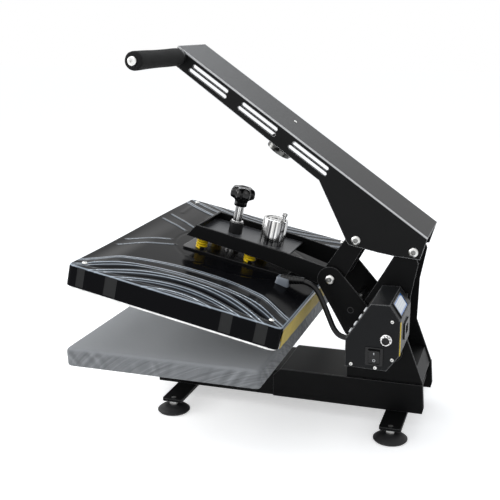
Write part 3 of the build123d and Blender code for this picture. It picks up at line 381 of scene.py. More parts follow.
def soft_foam(name, colour, cell=900.0):
    """Open foam or sponge with small cells."""
    foam = Finish(name)
    cells = foam.node("ShaderNodeTexVoronoi", {"Vector": foam.place(), "Scale": cell})
    tone = foam.noise(70.0, 4.0, 0.7)
    base = foam.mix(tone, shade(colour, 0.55), colour)
    pits = foam.bump(cells, 0.5, 0.0007)
    return foam.dress(base, 0.8 + 0.15 * tone, Normal=pits, Specular_IOR_Level=0.2)


def woven_cloth(name, colour):
    """Matte woven polyester: a fine plain weave, a little soiled, with creases that run down the skirt. Their
    hollows get painted shade, their crests and the top edge a painted highlight.
    """
    cloth = Finish(name)
    x, y, z = cloth.axes()
    pitch = 2 * math.pi / 0.0014
    weave = 0.25 * (cloth.maths("SINE", (x + z) * pitch) * cloth.maths("SINE", (y + z) * pitch)) + 0.5
    threads = cloth.noise(2300.0, 2.0, 0.6)
    cloudy = cloth.noise(5.0, 3.0, 0.55)
    slub = cloth.noise(1.0, 3.0, 0.6, cloth.place((14.0, 420.0, 60.0)))
    base = cloth.mix(0.6 * cloudy + 0.25 * slub + 0.1 * weave, shade(colour, 0.86), shade(colour, 1.12))
    drop = PAD_TOP * MM - z
    pleat = cloth.noise_along((x + y - PAD_MIDDLE * MM) * (1.0 + 6.5 * drop), 72.0, 2.0)
    skirt = cloth.steps(drop, 0.002, 0.012) * cloth.steps(drop, 0.046, 0.036)
    folds = cloth.painted("fold")
    # Painted shade in the hollows of pleats and folds, painted highlight on their crests and along the top edge
    fold_light_and_shade = (
        (0.4 * (cloth.steps(pleat, 0.48, 0.32) * skirt), 0.6),
        (0.42 * (cloth.steps(pleat, 0.52, 0.70) * skirt), 1.5),
        (0.45 * cloth.steps(folds, 0.75, 0.1), 0.6),
        (0.45 * cloth.steps(folds, 0.6, 1.0), 1.45),
        (0.35 * cloth.painted("crease"), 1.5),
    )
    for share, tone in fold_light_and_shade:
        base = cloth.mix(share, base, shade(colour, tone))
    pleats = cloth.bump(pleat * skirt, 0.55, 0.006)
    fine = cloth.bump(weave * 0.7 + 0.3 * threads, 0.35, 0.0003, pleats)
    sheen = {"Specular_IOR_Level": 0.25, "Sheen_Weight": 0.25, "Sheen_Roughness": 0.4}
    return cloth.dress(base, 0.84 + 0.1 * threads, Normal=fine, **sheen)


def woven_tape(name, colour):
    """Coarse glass tape, yellow and a little stained."""
    tape = Finish(name)
    checks = tape.node("ShaderNodeTexChecker", {"Vector": tape.place(), "Scale": 900.0}, 1)
    stain = tape.noise(30.0, 4.0, 0.7)
    base = tape.mix(stain, shade(colour, 0.6), colour)
    return tape.dress(base, 0.6 + 0.2 * stain, Normal=tape.bump(checks, 0.3, 0.0003))


def lacquered_wire(name, colour):
    """Lacquered spring wire, darker in patches."""
    wire = Finish(name)
    tone = wire.noise(160.0, 3.0, 0.6)
    deep = wire.steps(wire.noise(320.0, 2.0), 0.45, 0.7)
    base = wire.mix(0.5 * tone + 0.3 * deep, colour, shade(colour, 0.75))
    return wire.dress(base, 0.24 + 0.2 * tone, Specular_IOR_Level=0.3)


def clear_display():
    """Pale crystal window in a blue border, with rows of plain light bars and no lettering."""
    glass = Finish("display_glass")
    x, y, z = glass.axes()
    # From the window's middle: to its sides, and down its slope
    across = abs(x - 0.150)
    down = 0.567 * (y - 0.2895) - 0.8237 * (z - 0.27925)
    border = glass.maths("MAXIMUM", glass.steps(across, 0.0335, 0.035), glass.steps(abs(down), 0.0095, 0.0105))
    rows = glass.steps(glass.maths("SINE", down * 1250.0), 0.35, 0.6) * glass.steps(across, 0.029, 0.027)
    glow = glass.noise(40.0, 2.0)
    pane = glass.mix(glow, (0.52, 0.62, 0.72), (0.72, 0.78, 0.84))
    pane = glass.mix(0.55 * rows, pane, (0.86, 0.88, 0.9))
    return glass.dress(glass.mix(border, pane, (0.03, 0.2, 0.62)), 0.1 + 0.04 * glow, Coat_Weight=0.6)


# Where the posts stand along the platen
MAGNET_ALONG, STUD_ALONG, PIN_ALONG = 88.0, 5.0, 105.0

# Edge amounts lighten the edges as a painted highlight; the arm's faces that look up also get a painted sheen
FRAME_BLACK = powder_coat("frame_black", (0.0045, 0.0046, 0.0048))
ARM_BLACK = powder_coat("arm_black", (0.006, 0.0061, 0.0063), sheen=0.11, rough=0.36, edge_highlight=0.85, top_sheen=0.022)
BOX_BLACK = powder_coat("box_black", (0.0065, 0.007, 0.0078), sheen=0.14, rough=0.36, edge_highlight=0.35)
TRAY_GREY = powder_coat("tray_grey", (0.06, 0.061, 0.065), sheen=0.25, rough=0.3, edge_highlight=0.05)
PLATE_BLACK = powder_coat("plate_black", (0.004, 0.004, 0.0045), sheen=0.25, rough=0.16, edge_highlight=0.02, grain=0.4)
COVER_GLOSS = gloss_shell()
ZINC = bright_metal("bright_zinc", (0.82, 0.82, 0.80), rough=0.26)
CHROME = bright_metal("polished_chrome", (0.9, 0.9, 0.9), rough=0.08, worn=0.12)
POT_CHROME = chrome_with_painted_reflections("magnet_chrome", MAGNET_ALONG)
STUD_CHROME = chrome_with_painted_reflections("stud_chrome", STUD_ALONG)
PIN_CHROME = chrome_with_painted_reflections("pin_chrome", PIN_ALONG)
DARK_STEEL = bright_metal("armature_steel", (0.16, 0.16, 0.155), turned=(260.0, 260.0, 260.0), worn=0.97)
ALUMINIUM = bright_metal("cast_aluminium", (0.86, 0.86, 0.85), rough=0.34, turned=(30.0, 900.0, 900.0))
PLASTIC = plain_plastic("black_plastic", (0.012, 0.012, 0.0125))
KNOB_PLASTIC = plain_plastic("knob_plastic", (0.004, 0.004, 0.0045), rough=0.1, sheen=0.4, grain=260.0)
RUBBER = plain_plastic("foot_rubber", (0.014, 0.014, 0.015), rough=0.5, grain=340.0)
SHEATH = plain_plastic("cable_sheath", (0.004, 0.004, 0.0045), rough=0.24, sheen=0.35, grain=700.0)
GRIP_FOAM = soft_foam("grip_foam", (0.016, 0.016, 0.016))
SPONGE = soft_foam("silicone_sponge", (0.5, 0.14, 0.08), cell=420.0)
PAD_CLOTH = woven_cloth("pad_cloth", (0.245, 0.253, 0.262))
TAPE = woven_tape("insulation_tape", (0.80, 0.62, 0.17))
SPRING_YELLOW = lacquered_wire("spring_yellow", (1.0, 0.70, 0.01))
DISPLAY = clear_display()
# White print of the rocker marks; the louvres also use it as a painted highlight
WHITE_PRINT_AND_HIGHLIGHT = plain_plastic("white_print_and_highlight", (0.72, 0.73, 0.74), rough=0.5)
YELLOW_TRIM = plain_plastic("yellow_trim", (0.78, 0.56, 0.02), rough=0.4)
# The relief block is black plastic, coloured light grey-blue all over as a painted reflection
RELIEF_PAINTED_REFLECTION = plain_plastic("relief_painted_reflection", (0.2, 0.225, 0.26), rough=0.25, sheen=0.5)

NODE_FINISHES = {
    RUBBER: "rubber_feet",
    ZINC: "foot_studs grip_end_bolt handle_shaft press_shaft link_pin",
    DARK_STEEL: "armature_disc armature_bracket strut_rod",
    FRAME_BLACK: "crossbars base_beam base_side_right base_side_left base_top_plate tower_plate_right "
    "tower_plate_left tie_rods rear_cover pedestal box_bracket strut_cylinder link_plates "
    "press_plate_right press_plate_left press_tray press_cross_pins",
    ARM_BLACK: "handle_arm grip_bar",
    BOX_BLACK: "box_casing",
    TRAY_GREY: "tray_floor",
    PLATE_BLACK: "mount_plate",
    ALUMINIUM: "heating_plate lower_platen_plate",
    PLASTIC: "display_bezel switch_frame mains_inlet cable_gland grip_collar switch_rocker knob_sleeve",
    CHROME: "sleeve_ring",
    STUD_CHROME: "pressure_stud",
    TAPE: "insulation_band",
    DISPLAY: "display_window",
}


def dress_nodes():
    """Each CAD node that stays gets its finish."""
    for finish, names in NODE_FINISHES.items():
        for name in names.split():
            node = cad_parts[name]
            node.data.materials.clear()
            node.data.materials.append(finish)


dress_nodes()

# Cable from the upper platen to the control box, on the route of the solid

CABLE_SPOTS = [
    (112.0, 68.0, 298.2),
    (112.0, 91.0, 298.2),
    (116.0, 117.0, 288.5),
    (121.0, 132.5, 262.5),
    (126.0, 148.0, 230.5),
    (129.5, 158.5, 208.5),
    (132.0, 174.0, 195.0),
    (132.0, 193.0, 195.0),
]
CABLE_RADIUS = 5.5


def make_cable():
    """A tube along one smooth spline."""
    line = bpy.data.curves.new("platen_cable_line", "CURVE")
    line.dimensions = "3D"
    line.resolution_u = 24
    spline = line.splines.new("NURBS")
    spline.points.add(len(CABLE_SPOTS) - 1)
    for point, spot in zip(spline.points, CABLE_SPOTS):
        point.co = (*(c * MM for c in spot), 1.0)
    spline.order_u = 3
    spline.use_endpoint_u = True
    holder = link(bpy.data.objects.new("cable_line", line))
    path = [v.co.copy() for v in evaluated_mesh(holder).vertices]
    line.bevel_depth = CABLE_RADIUS * MM
    line.bevel_resolution = 6
    line.use_fill_caps = True
    tube = evaluated_mesh(holder)
    bpy.data.objects.remove(holder)
    tube.materials.clear()
    tube.materials.append(SHEATH)
    tube.shade_smooth()
    cable = link(bpy.data.objects.new("cable_sheath", tube))
    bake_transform(cable)
    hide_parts("platen_cable")


make_cable()

# Floor, lamps and background

# Rays for which the floor and the background are bright
SEEN_RAYS = ("Is Camera Ray", "Is Glossy Ray", "Is Transmission Ray")


def make_floor():
    """A pale floor that shows as white in mirrors and through glass."""
    floor = Finish("pale_floor")
    rays = floor.node("ShaderNodeLightPath").socket.node.outputs
    camera, glossy, through = (Signal(floor, rays[kind]) for kind in SEEN_RAYS)
    seen = floor.maths("MINIMUM", camera + glossy + through, 1.0)
    glow = floor.mix(seen, (0.0, 0.0, 0.0), (0.5, 0.5, 0.5))
    pale = (0.86, 0.86, 0.86)
    floor.dress(pale, 0.9, Specular_IOR_Level=0.0, Emission_Color=glow, Emission_Strength=1.0)
    size = 14.0
    corners = [(-size, -size, 0), (size, -size, 0), (size, size, 0), (-size, size, 0)]
    ground = mesh_piece("floor", corners, [(0, 1, 2, 3)], floor.material, smooth=False)


def make_world():
    """White where it is seen, a cool dim light for everything else."""
    world = bpy.data.worlds.new("studio")
    scene.world = world
    world.use_nodes = True
    tree = world.node_tree
    tree.nodes.clear()
    rays = add_node(tree, "ShaderNodeLightPath").outputs
    seen = rays[SEEN_RAYS[0]]
    for kind in SEEN_RAYS[1:]:
        seen = add_node(tree, "ShaderNodeMath", {0: seen, 1: rays[kind]}, operation="MAXIMUM").outputs[0]
    dim = add_node(tree, "ShaderNodeBackground", {0: (0.93, 0.96, 1.0, 1.0), 1: 0.62})
    white = add_node(tree, "ShaderNodeBackground", {0: (1.0, 1.0, 1.0, 1.0), 1: 1.0})
    blend = add_node(tree, "ShaderNodeMixShader", {0: seen, 1: dim.outputs[0], 2: white.outputs[0]})
    add_node(tree, "ShaderNodeOutputWorld", {0: blend.outputs[0]})


def lamp(name, place, target, wide, tall, power, colour=(1.0, 1.0, 1.0)):
    light = bpy.data.lights.new(name, "AREA")
    light.shape = "RECTANGLE"
    light.size, light.size_y = wide, tall
    light.energy = power
    light.color = colour
    aim_at(link(bpy.data.objects.new(name, light)), place, target)


make_floor()
make_world()
lamp("overhead_box", (0.2, -0.5, 2.4), (0.0, 0.0, 0.3), 1.8, 1.8, 14.5)
lamp("far_strip", (-1.7, -0.3, 1.7), (0.0, 0.0, 0.35), 2.0, 0.18, 9.0, (0.9, 0.95, 1.0))
lamp("near_fill", (2.2, -1.0, 1.6), (0.0, 0.0, 0.3), 1.4, 1.4, 7.0)
lamp("front_box", (0.5, -2.2, 1.3), (0.0, -0.2, 0.2), 1.4, 0.9, 24.0)

# Shapes on a rounded rectangle: columns round the outline, rings from its foot to its middle


def side_stops(half, step, marks=()):
    """Places along a straight side from -half to half, with a close pair at each mark."""
    count = max(2, round(2 * half / step))
    spots = list(np.linspace(-half, half, count + 1))
    for mark in marks:
        spots = [q for q in spots if abs(q - mark) > 1.0]
        spots += [mark - 0.5, mark + 0.5]
    return sorted(q for q in spots if -half <= q <= half)


def outline(half, corner, stops_x, stops_y, arc_steps=7):
    """Columns round a rounded rectangle: a place that any inset ring can follow, and the way it faces."""
    columns = []
    for quarter, (sx, sy) in enumerate(((1, -1), (1, 1), (-1, 1), (-1, -1))):
        for step in range(arc_steps + 1):
            angle = (quarter - 1 + step / arc_steps) * math.pi / 2
            columns.append((sx, sy, math.cos(angle), math.sin(angle)))
        upright = quarter % 2 == 0
        flat = (half[1] if upright else half[0]) - corner
        inner = [q / flat for q in (stops_y if upright else stops_x) if abs(q) < flat - 1e-6]
        for q in inner if quarter in (0, 3) else inner[::-1]:
            columns.append((sx, q, sx, 0.0) if upright else (q, sy, 0.0, sy))
    return np.array(columns)


def ring_stack(columns, half, rings):
    """Across, along, height and inset of every point of the rings (inset, height, corner radius)."""
    stack = []
    for inset, height, corner in rings:
        x = columns[:, 0] * (half[0] - inset - corner) + columns[:, 2] * corner
        y = columns[:, 1] * (half[1] - inset - corner) + columns[:, 3] * corner
        stack.append(np.stack([x, y, np.full_like(x, height), np.full_like(x, inset)]))
    return np.concatenate(stack, axis=1)


def roll(radius, steps):
    """A quarter round from its foot to its top: how far in, and how far below its top."""
    angles = [step / steps * math.pi / 2 for step in range(1, steps + 1)]
    return [(radius * (1 - math.cos(a)), radius * (math.sin(a) - 1)) for a in angles]


def ring_faces(columns, rings, close_first=False, close_last=False):
    """Quads between rings. An end ring either gets one face or has already run together."""
    faces = []
    for ring in range(rings - 1):
        low, high = ring * columns, (ring + 1) * columns
        for c in range(columns):
            d = (c + 1) % columns
            faces.append((low + c, low + d, high + d, high + c))
    if close_last:
        faces.append(tuple((rings - 1) * columns + c for c in range(columns)))
    if close_first:
        faces.append(tuple(reversed(range(columns))))
    return faces


def tidy(piece, gap=1e-5):
    """Merges doubled points, drops flat faces and turns every face outwards."""
    work = bmesh.new()
    work.from_mesh(piece.data)
    bmesh.ops.remove_doubles(work, verts=work.verts, dist=gap)
    bmesh.ops.dissolve_degenerate(work, edges=work.edges, dist=gap)
    bmesh.ops.recalc_face_normals(work, faces=work.faces)
    work.to_mesh(piece.data)
    work.free()
    piece.data.shade_smooth()
    piece.data.set_sharp_from_angle(angle=math.radians(38.0))


def paint(piece, name, values):
    """Stores a value on each of the piece's points."""
    layer = piece.data.attributes.new(name, "FLOAT", "POINT")
    layer.data.foreach_set("value", np.asarray(values, np.float32))


def vertex_spots(piece):
    return np.array([v.co for v in piece.data.vertices])


def move_vertices(piece, spots):
    piece.data.vertices.foreach_set("co", spots.astype(np.float32).ravel())
    piece.data.update()


def settle(piece, body, slot, *nodes):
    """The body a piece moves with and the nodes it stands for; its record slot is not used."""
    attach(piece, body)
    if nodes:
        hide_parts(*nodes)


def ease(value, low, high):
    t = np.clip((value - low) / (high - low), 0.0, 1.0)
    return t * t * (3 - 2 * t)


# Upper cover


def on_platen(across, along, height):
    """Points of the platen's plane in the machine's frame, metres."""
    y = PLATEN_Y + along * math.cos(TILT) + height * math.sin(TILT)
    z = PLATEN_Z - along * math.sin(TILT) + height * math.cos(TILT)
    return in_metres(across, y, z)


def segment_distance(x, y, a, b):
    a, b = np.array(a, float), np.array(b, float)
    run = b - a
    t = np.clip(((x - a[0]) * run[0] + (y - a[1]) * run[1]) / (run @ run), 0, 1)
    return np.hypot(x - a[0] - t * run[0], y - a[1] - t * run[1])


def crown_height(inset):
    """The shell rolls over at its rim and rises gently to a flat middle."""
    return RIM_HEIGHT + (CROWN - RIM_HEIGHT) * ease(inset, 10.0, 75.0)


def rim_rise(x, inset):
    """The shell sits a little higher on its far side."""
    return 8.5 * ease(-x, -260.0, 260.0) * (1 - ease(inset, 10.0, 75.0))


def cover_relief(x, s, inset):
    """Height of the moulded ridges over the crown, with a flat spot at each corner screw."""
    side = np.abs(x)
    gaps = [(np.abs(np.hypot(side - cx, s - cs) - radius), share, 3.9) for cx, cs, radius, share in RIDGE_ARCS]
    gaps += [(segment_distance(side, s, start, end), 0.9, 3.2) for start, end in CREASES]
    gaps += [(segment_distance(x, s, start, end), 0.55, 5.0) for start, end in zip(FRAME_RIB, FRAME_RIB[1:])]
    ridge = np.zeros_like(x)
    for gap, share, width in gaps:
        ridge = np.maximum(ridge, share * np.exp(-((gap / width) ** 2)))
    ridge = ridge * ease(inset, 3.0, 9.0)
    for sx in (-298, 298):
        for ss in (-192, 190):
            ridge = ridge * ease(np.hypot(x - sx, s - ss), 7.0, 13.0)
    disc = np.hypot(x, s - 30) - 146
    groove = -0.7 * np.exp(-((disc / 2.4) ** 2)) * (ridge < 0.1)
    return (1.3 * ridge + groove) * ease(inset, 7.0, 22.0)


def make_cover():
    """A moulded shell from the hem inside its walls, round its rim, to the middle of its top."""
    corner, pitch = COVER_CORNER, 2.7
    marks = sorted(q for pair in WALL_PANELS for q in pair)
    stops_x = sorted(side_stops(COVER_HALF[0] - corner, pitch) + [-299.8, 299.8])
    columns = outline(COVER_HALF, corner, stops_x, side_stops(COVER_HALF[1] - corner, pitch, marks))
    hem = ((3.0, -14.0), (3.0, -40.3), (2.2, -41.3), (0.6, -41.3), (0.0, -40.5))
    rings = [(inset, h, corner - inset) for inset, h in hem]
    rings += [(0.0, h, corner) for h in (-37.0, -30.0, -20.0, -10.0, -5.0, RIM_HEIGHT - 4.0)]
    rings += [(inset, RIM_HEIGHT + drop, corner - inset) for inset, drop in roll(4.0, 6)]
    inset = 4.0
    while inset < 200.0:
        inset += pitch if inset < 150 else 6.0
        rings.append((inset, float(crown_height(inset)), max(4.0, corner - inset)))
    rings.append((COVER_HALF[1], CROWN, 0.0))
    x, s, height, inset = ring_stack(columns, COVER_HALF, rings)
    rear = (columns[:, 3] == 1.0) & (columns[:, 2] == 0.0) & (np.abs(columns[:, 0]) < 1.0)
    on_side = np.abs(columns[:, 2]) == 1.0
    rear, on_side = (np.tile(mask, len(rings)) for mask in (rear, on_side))
    panel = np.zeros_like(x)
    for first, last in WALL_PANELS:
        panel[on_side & (s > first) & (s < last) & (inset < 0.5) & (height > -39.0)] = 1.0
    # The panels lie a millimetre deeper than the wall
    x = x - np.sign(x) * panel
    h = np.where(rear, np.maximum(height, REAR_OPENING), height)
    h = h + rim_rise(x, inset) * (height > -5.0) + cover_relief(x, s, inset)
    piece = mesh_piece("upper_cover", on_platen(x, s, h), ring_faces(len(columns), len(rings)), COVER_GLOSS)
    paint(piece, "panel", panel)
    # A thin band on the rounded rim for a painted highlight line
    paint(piece, "rim", (inset > 0.4) & (inset < 2.2) & (height > -3.0))
    tidy(piece)
    settle(piece, "upper_platen", "gloss_black", "platen_cover")


make_cover()

# Pad cover: a fitted cloth over the sponge, drawn in under the lower platen

FOLD_LIMIT = 3.4
PAD_REACH = 322.5


def make_pad_cover():
    """The cloth starts a little too long for its skirt, is relaxed as cloth, and so gathers into folds."""
    flat_x, flat_y = (half - PAD_CORNER for half in PAD_HALF)
    columns = outline(PAD_HALF, PAD_CORNER, side_stops(flat_x, 4.2), side_stops(flat_y, 4.2), 6)
    top = PAD_TOP - 0.9
    hem = ((14.0, 1.2, 6.0), (11.0, 0.6, 6.5), (7.0, 0.5, 7.0), (3.6, 1.2, 7.5), (1.8, 3.6, 8.0))
    rings = [(inset, PAD_BOTTOM + rise, corner) for inset, rise, corner in hem]
    rings += [(1.2, PAD_BOTTOM + q, PAD_CORNER) for q in (7.4, 11.6, 15.8, 20.0, 24.2, 28.4, 32.2)]
    rings += [(1.2 + inset, top + drop, PAD_CORNER) for inset, drop in roll(6.5, 5)]
    inset = 7.7
    while inset < 170.0:
        inset += 4.2 if inset < 30 else (9.0 if inset < 90 else 18.0)
        rings.append((inset, top, 7.0))
    rings.append((PAD_HALF[1], top, 0.0))
    x, y, z, inset = ring_stack(columns, PAD_HALF, rings)
    hold = ((inset > 12.0) & (z < PAD_BOTTOM + 5)) | ((inset > 14.0) & (z > PAD_TOP - 1.2))
    # A small steady unevenness, so that the folds have somewhere to start
    around = np.arctan2(y, x)
    tall = np.clip((z - PAD_BOTTOM) / 40.0, 0, 1)
    ripple = np.sin(53 * around + 1.3) + 0.8 * np.sin(37 * around + 0.4) + 0.6 * np.sin(91 * around + 2.1)
    lean = np.sin(41 * around + 9.0 * tall) + 0.7 * np.sin(67 * around - 7.0 * tall + 1.1)
    push = ~hold * np.sin(np.pi * tall) * 0.4 * (ripple + lean)
    points = in_metres(x + np.cos(around) * push, y + PAD_MIDDLE + np.sin(around) * push, z)
    piece = mesh_piece("pad_cloth", points, ring_faces(len(columns), len(rings)), PAD_CLOTH)
    rest = vertex_spots(piece)
    relax_cloth(piece, hold)
    shift = vertex_spots(piece) - rest
    most = FOLD_LIMIT * MM * (1 - 0.75 * (rest[:, 2] > (PAD_TOP - 2.0) * MM))
    shift *= np.minimum(1.0, most / np.maximum(np.linalg.norm(shift, axis=1), 1e-9))[:, None]
    moved = rest + shift
    moved[:, 0] = np.clip(moved[:, 0], -PAD_REACH * MM, PAD_REACH * MM)
    move_vertices(piece, moved)
    add_gathers(piece)
    # A band along the top edge that gets a painted highlight
    paint(piece, "crease", np.exp(-(((vertex_spots(piece)[:, 2] / MM - (PAD_TOP - 3.0)) / 3.0) ** 2)))
    tidy(piece)
    smooth = piece.modifiers.new("smooth", "SUBSURF")
    smooth.levels = smooth.render_levels = 1
    settle(piece, "base", "grey_cloth", "pad_cover")


def relax_cloth(piece, hold):
    """Twenty frames of cloth with the top and the inner hem held, then the result becomes the mesh."""
    pinned = piece.vertex_groups.new(name="held")
    pinned.add(np.flatnonzero(hold).tolist(), 1.0, "REPLACE")
    cloth = piece.modifiers.new("relax", "CLOTH")
    settings = cloth.settings
    settings.vertex_group_mass = "held"
    settings.use_pressure = True
    settings.uniform_pressure_force = 4.0
    settings.shrink_min = -0.055
    settings.quality = 5
    settings.tension_stiffness = settings.compression_stiffness = 20.0
    settings.bending_stiffness = 0.15
    settings.effector_weights.gravity = 0.0
    cloth.point_cache.frame_start = 1
    cloth.point_cache.frame_end = 20
    for number in range(1, 21):
        scene.frame_set(number)
    done, old = evaluated_mesh(piece), piece.data
    piece.modifiers.remove(cloth)
    piece.data = done
    bpy.data.meshes.remove(old)
    scene.frame_set(1)


def add_gathers(piece):
    """Slanting folds in the skirt, deeper towards the corners."""
    spots = vertex_spots(piece) / MM
    x, y, z = spots[:, 0], spots[:, 1] - PAD_MIDDLE, spots[:, 2]
    tall = np.clip((z - PAD_BOTTOM) / (PAD_TOP - PAD_BOTTOM), 0, 1)
    near_end = np.abs(x) > PAD_HALF[0] - 9.0
    run = np.where(near_end, y, x)
    share = np.clip(np.abs(run) / np.where(near_end, PAD_HALF[1], PAD_HALF[0]), 0, 1)
    where = run + np.sign(run) * (10.0 + 34.0 * share) * (1 - tall)
    waves = np.sin(where / 6.1 + 1.3 * np.sin(where / 27.0))
    waves = waves + 0.7 * np.sin(where / 3.3 + 1.9 + np.sin(where / 17.0))
    waves = np.sign(waves) * np.abs(waves) ** 1.3
    amount = (0.4 + 0.8 * share**2.0) * (0.6 + 0.4 * np.sin(run / 23.0 + 2.0))
    amount = amount * np.sin(np.pi * np.clip(tall * 1.02, 0, 1)) ** 0.8 * (z < PAD_TOP - 2.0)
    push = 1.25 * waves * amount
    spots[:, 0] += np.where(near_end, np.sign(x) * push, 0.0)
    spots[:, 1] += np.where(near_end, 0.0, np.sign(y) * push)
    move_vertices(piece, spots * MM)
    # How far each point was pushed out: for painted shade in the folds' hollows and painted highlight on their
    # crests
    paint(piece, "fold", np.clip(0.5 + 0.5 * waves * amount, 0, 1))


def make_sponge():
    """The silicone sponge under the cloth, a slab with soft edges."""
    half, corner = [side - 4.5 for side in PAD_HALF], 7.0
    columns = outline(half, corner, side_stops(half[0] - corner, 40), side_stops(half[1] - corner, 40), 4)
    low, high = 155.2, 179.0
    rings = [(half[1], low, 0.0), (3.0, low, corner), (1.0, low + 0.8, corner), (0.2, low + 6.0, corner)]
    rings += [(0.6, (low + high) / 2, corner), (0.2, high - 6.0, corner), (1.0, high - 1.0, corner)]
    rings += [(3.5, high, corner), (half[1], high, 0.0)]
    x, y, z, _ = ring_stack(columns, half, rings)
    points = in_metres(x, y + PAD_MIDDLE, z)
    piece = mesh_piece("pad_sponge", points, ring_faces(len(columns), len(rings)), SPONGE)
    tidy(piece)
    settle(piece, "base", "sponge", "sponge_pad")


make_pad_cover()
make_sponge()

# Round things, and things that repeat


def arm_spot(forward, depth):
    """A side-view point of the handle arm, (y, z) in millimetres."""
    up = ARM_TOP - depth
    y = PIVOT_Y - forward * math.cos(ARM_TILT) + up * math.sin(ARM_TILT)
    z = PIVOT_Z + forward * math.sin(ARM_TILT) + up * math.cos(ARM_TILT)
    return y, z


def lathe(profile, around, section=None, at=(0.0, 0.0, 0.0), stretch=(1.0, 1.0, 1.0)):
    """A closed solid of revolution about Z, from steps (radius, height, share of the section if any)."""
    angles = np.arange(around) / around * 2 * math.pi
    points = []
    for radius, height, *share in profile:
        reach = radius * (1 + share[0] * section(angles, height)) if share else radius
        points.append(np.column_stack([reach * np.cos(angles), reach * np.sin(angles), np.full(around, height)]))
    faces = ring_faces(around, len(profile), close_first=True, close_last=True)
    return np.concatenate(points) * stretch + at, faces


def hexagon(angles, _):
    return math.cos(math.pi / 6) / np.cos(np.mod(angles, math.pi / 3) - math.pi / 6) - 1


def soft_rectangle(angles, _):
    return (np.abs(np.cos(angles)) ** 5 + np.abs(np.sin(angles)) ** 5) ** -0.2 - 1


def laid_across(y, z, x):
    """Points of a shape that was turned about a line along X."""
    return in_metres(x, y, z)


def laid_back(x, z, y):
    """Points of a shape that was turned about a line along Y."""
    return in_metres(x, y, z)


def stand(name, shape, place, finish, *where):
    """A turned shape put in its place; where says its body, its slot and the nodes it stands for."""
    points, faces = shape
    piece = mesh_piece(name, place(*points.T), faces, finish)
    tidy(piece)
    if where:
        settle(piece, *where)
    return piece


def make_grip():
    """Foam tube on the handle bar, a little waisted and uneven, with rounded ends."""
    low, high, radius = 92.0, 297.0, 17.5
    steps = [(9.0, low, 1), (15.2, low + 0.3, 1), (17.0, low + 2.0, 1)]
    for t in np.arange(41) / 40:
        steps.append((radius - 0.7 * math.sin(math.pi * t) ** 2, low + 4.0 + t * (high - low - 10.0), 1))
    steps += [(17.1, high - 3.0, 1), (15.6, high - 0.8, 1), (13.0, high, 1), (9.2, high - 0.2, 1)]

    def wobble(angles, x):
        return 0.006 * np.sin(5 * angles + x / 19.0) + 0.004 * np.sin(3 * angles - x / 11.0)

    tube = lathe(steps, 48, wobble, (*arm_spot(605.0, 16.0), 0.0))
    stand("grip_foam_tube", tube, laid_across, GRIP_FOAM, "handle", "foam", "foam_grip")


def new_tree(name, sizes):
    """A Geometry Nodes tree with named inputs; returns it, its input sockets and its output node."""
    tree = bpy.data.node_groups.new(name, "GeometryNodeTree")
    tree.interface.new_socket(name="Geometry", in_out="INPUT", socket_type="NodeSocketGeometry")
    for size, kind in sizes.items():
        tree.interface.new_socket(name=size, in_out="INPUT", socket_type="NodeSocket" + kind)
    tree.interface.new_socket(name="Geometry", in_out="OUTPUT", socket_type="NodeSocketGeometry")
    return tree, tree.nodes.new("NodeGroupInput").outputs, tree.nodes.new("NodeGroupOutput")


def grow(name, spots, tree, values):
    """Runs a tree on loose points, each with its turn and size, and keeps the result as a plain mesh."""
    mesh = bpy.data.meshes.new("spots")
    mesh.from_pydata([tuple(c * MM for c in place) for place, _, _ in spots], [], [])
    turn = mesh.attributes.new("turn", "FLOAT_VECTOR", "POINT")
    turn.data.foreach_set("vector", np.array([turned for _, turned, _ in spots], np.float32).ravel())
    carrier = link(bpy.data.objects.new("spots", mesh))
    paint(carrier, "size", [size for _, _, size in spots])
    step = carrier.modifiers.new("grow", "NODES")
    step.node_group = tree
    for item in tree.interface.items_tree:
        if item.in_out == "INPUT" and item.name in values:
            step[item.identifier] = values[item.name]
    grown = evaluated_mesh(carrier)
    carrier.modifiers.remove(step)
    bpy.data.objects.remove(carrier)
    grown.name = name
    return link(bpy.data.objects.new(name, grown))


def finish_tree(tree, start, end, instance, finish, smooth=False):
    """Puts the instance on every point, turned and sized, makes it real and gives it its finish."""
    turn = add_node(tree, "GeometryNodeInputNamedAttribute", {"Name": "turn"}, data_type="FLOAT_VECTOR")
    size = add_node(tree, "GeometryNodeInputNamedAttribute", {"Name": "size"}, data_type="FLOAT")
    inputs = {"Points": start["Geometry"], "Instance": instance}
    inputs.update({"Rotation": turn.outputs["Attribute"], "Scale": size.outputs["Attribute"]})
    last = add_node(tree, "GeometryNodeInstanceOnPoints", inputs)
    last = add_node(tree, "GeometryNodeRealizeInstances", {"Geometry": last.outputs[0]})
    if smooth:
        last = add_node(tree, "GeometryNodeSetShadeSmooth", {"Geometry": last.outputs[0]})
    last = add_node(tree, "GeometryNodeSetMaterial", {"Geometry": last.outputs[0], "Material": finish})
    tree.links.new(last.outputs[0], end.inputs[0])


def scatter(name, template, spots, finish, socket, *where):
    """Copies of one small template, one at each spot. Inside the socket radius its points are marked for painted
    shade.
    """
    points, faces = template
    pattern = mesh_piece("pattern", points * MM, faces, None)
    # Points inside the socket radius are marked for painted shade
    paint(pattern, "recess", [v.co.xy.length < socket * MM for v in pattern.data.vertices])
    tidy(pattern, 1e-6)
    tree, start, end = new_tree(name + "_tree", {"Pattern": "Object"})
    shape = add_node(tree, "GeometryNodeObjectInfo", {"Object": start["Pattern"]})
    finish_tree(tree, start, end, shape.outputs["Geometry"], finish)
    piece = grow(name, spots, tree, {"Pattern": pattern})
    bpy.data.objects.remove(pattern)
    settle(piece, *where)


RIGHTWARDS = (0.0, math.pi / 2, 0.0)
LEFTWARDS = (0.0, -math.pi / 2, 0.0)
ON_PLATEN = (-TILT, 0.0, 0.0)
ON_ARM = (-ARM_TILT, 0.0, 0.0)
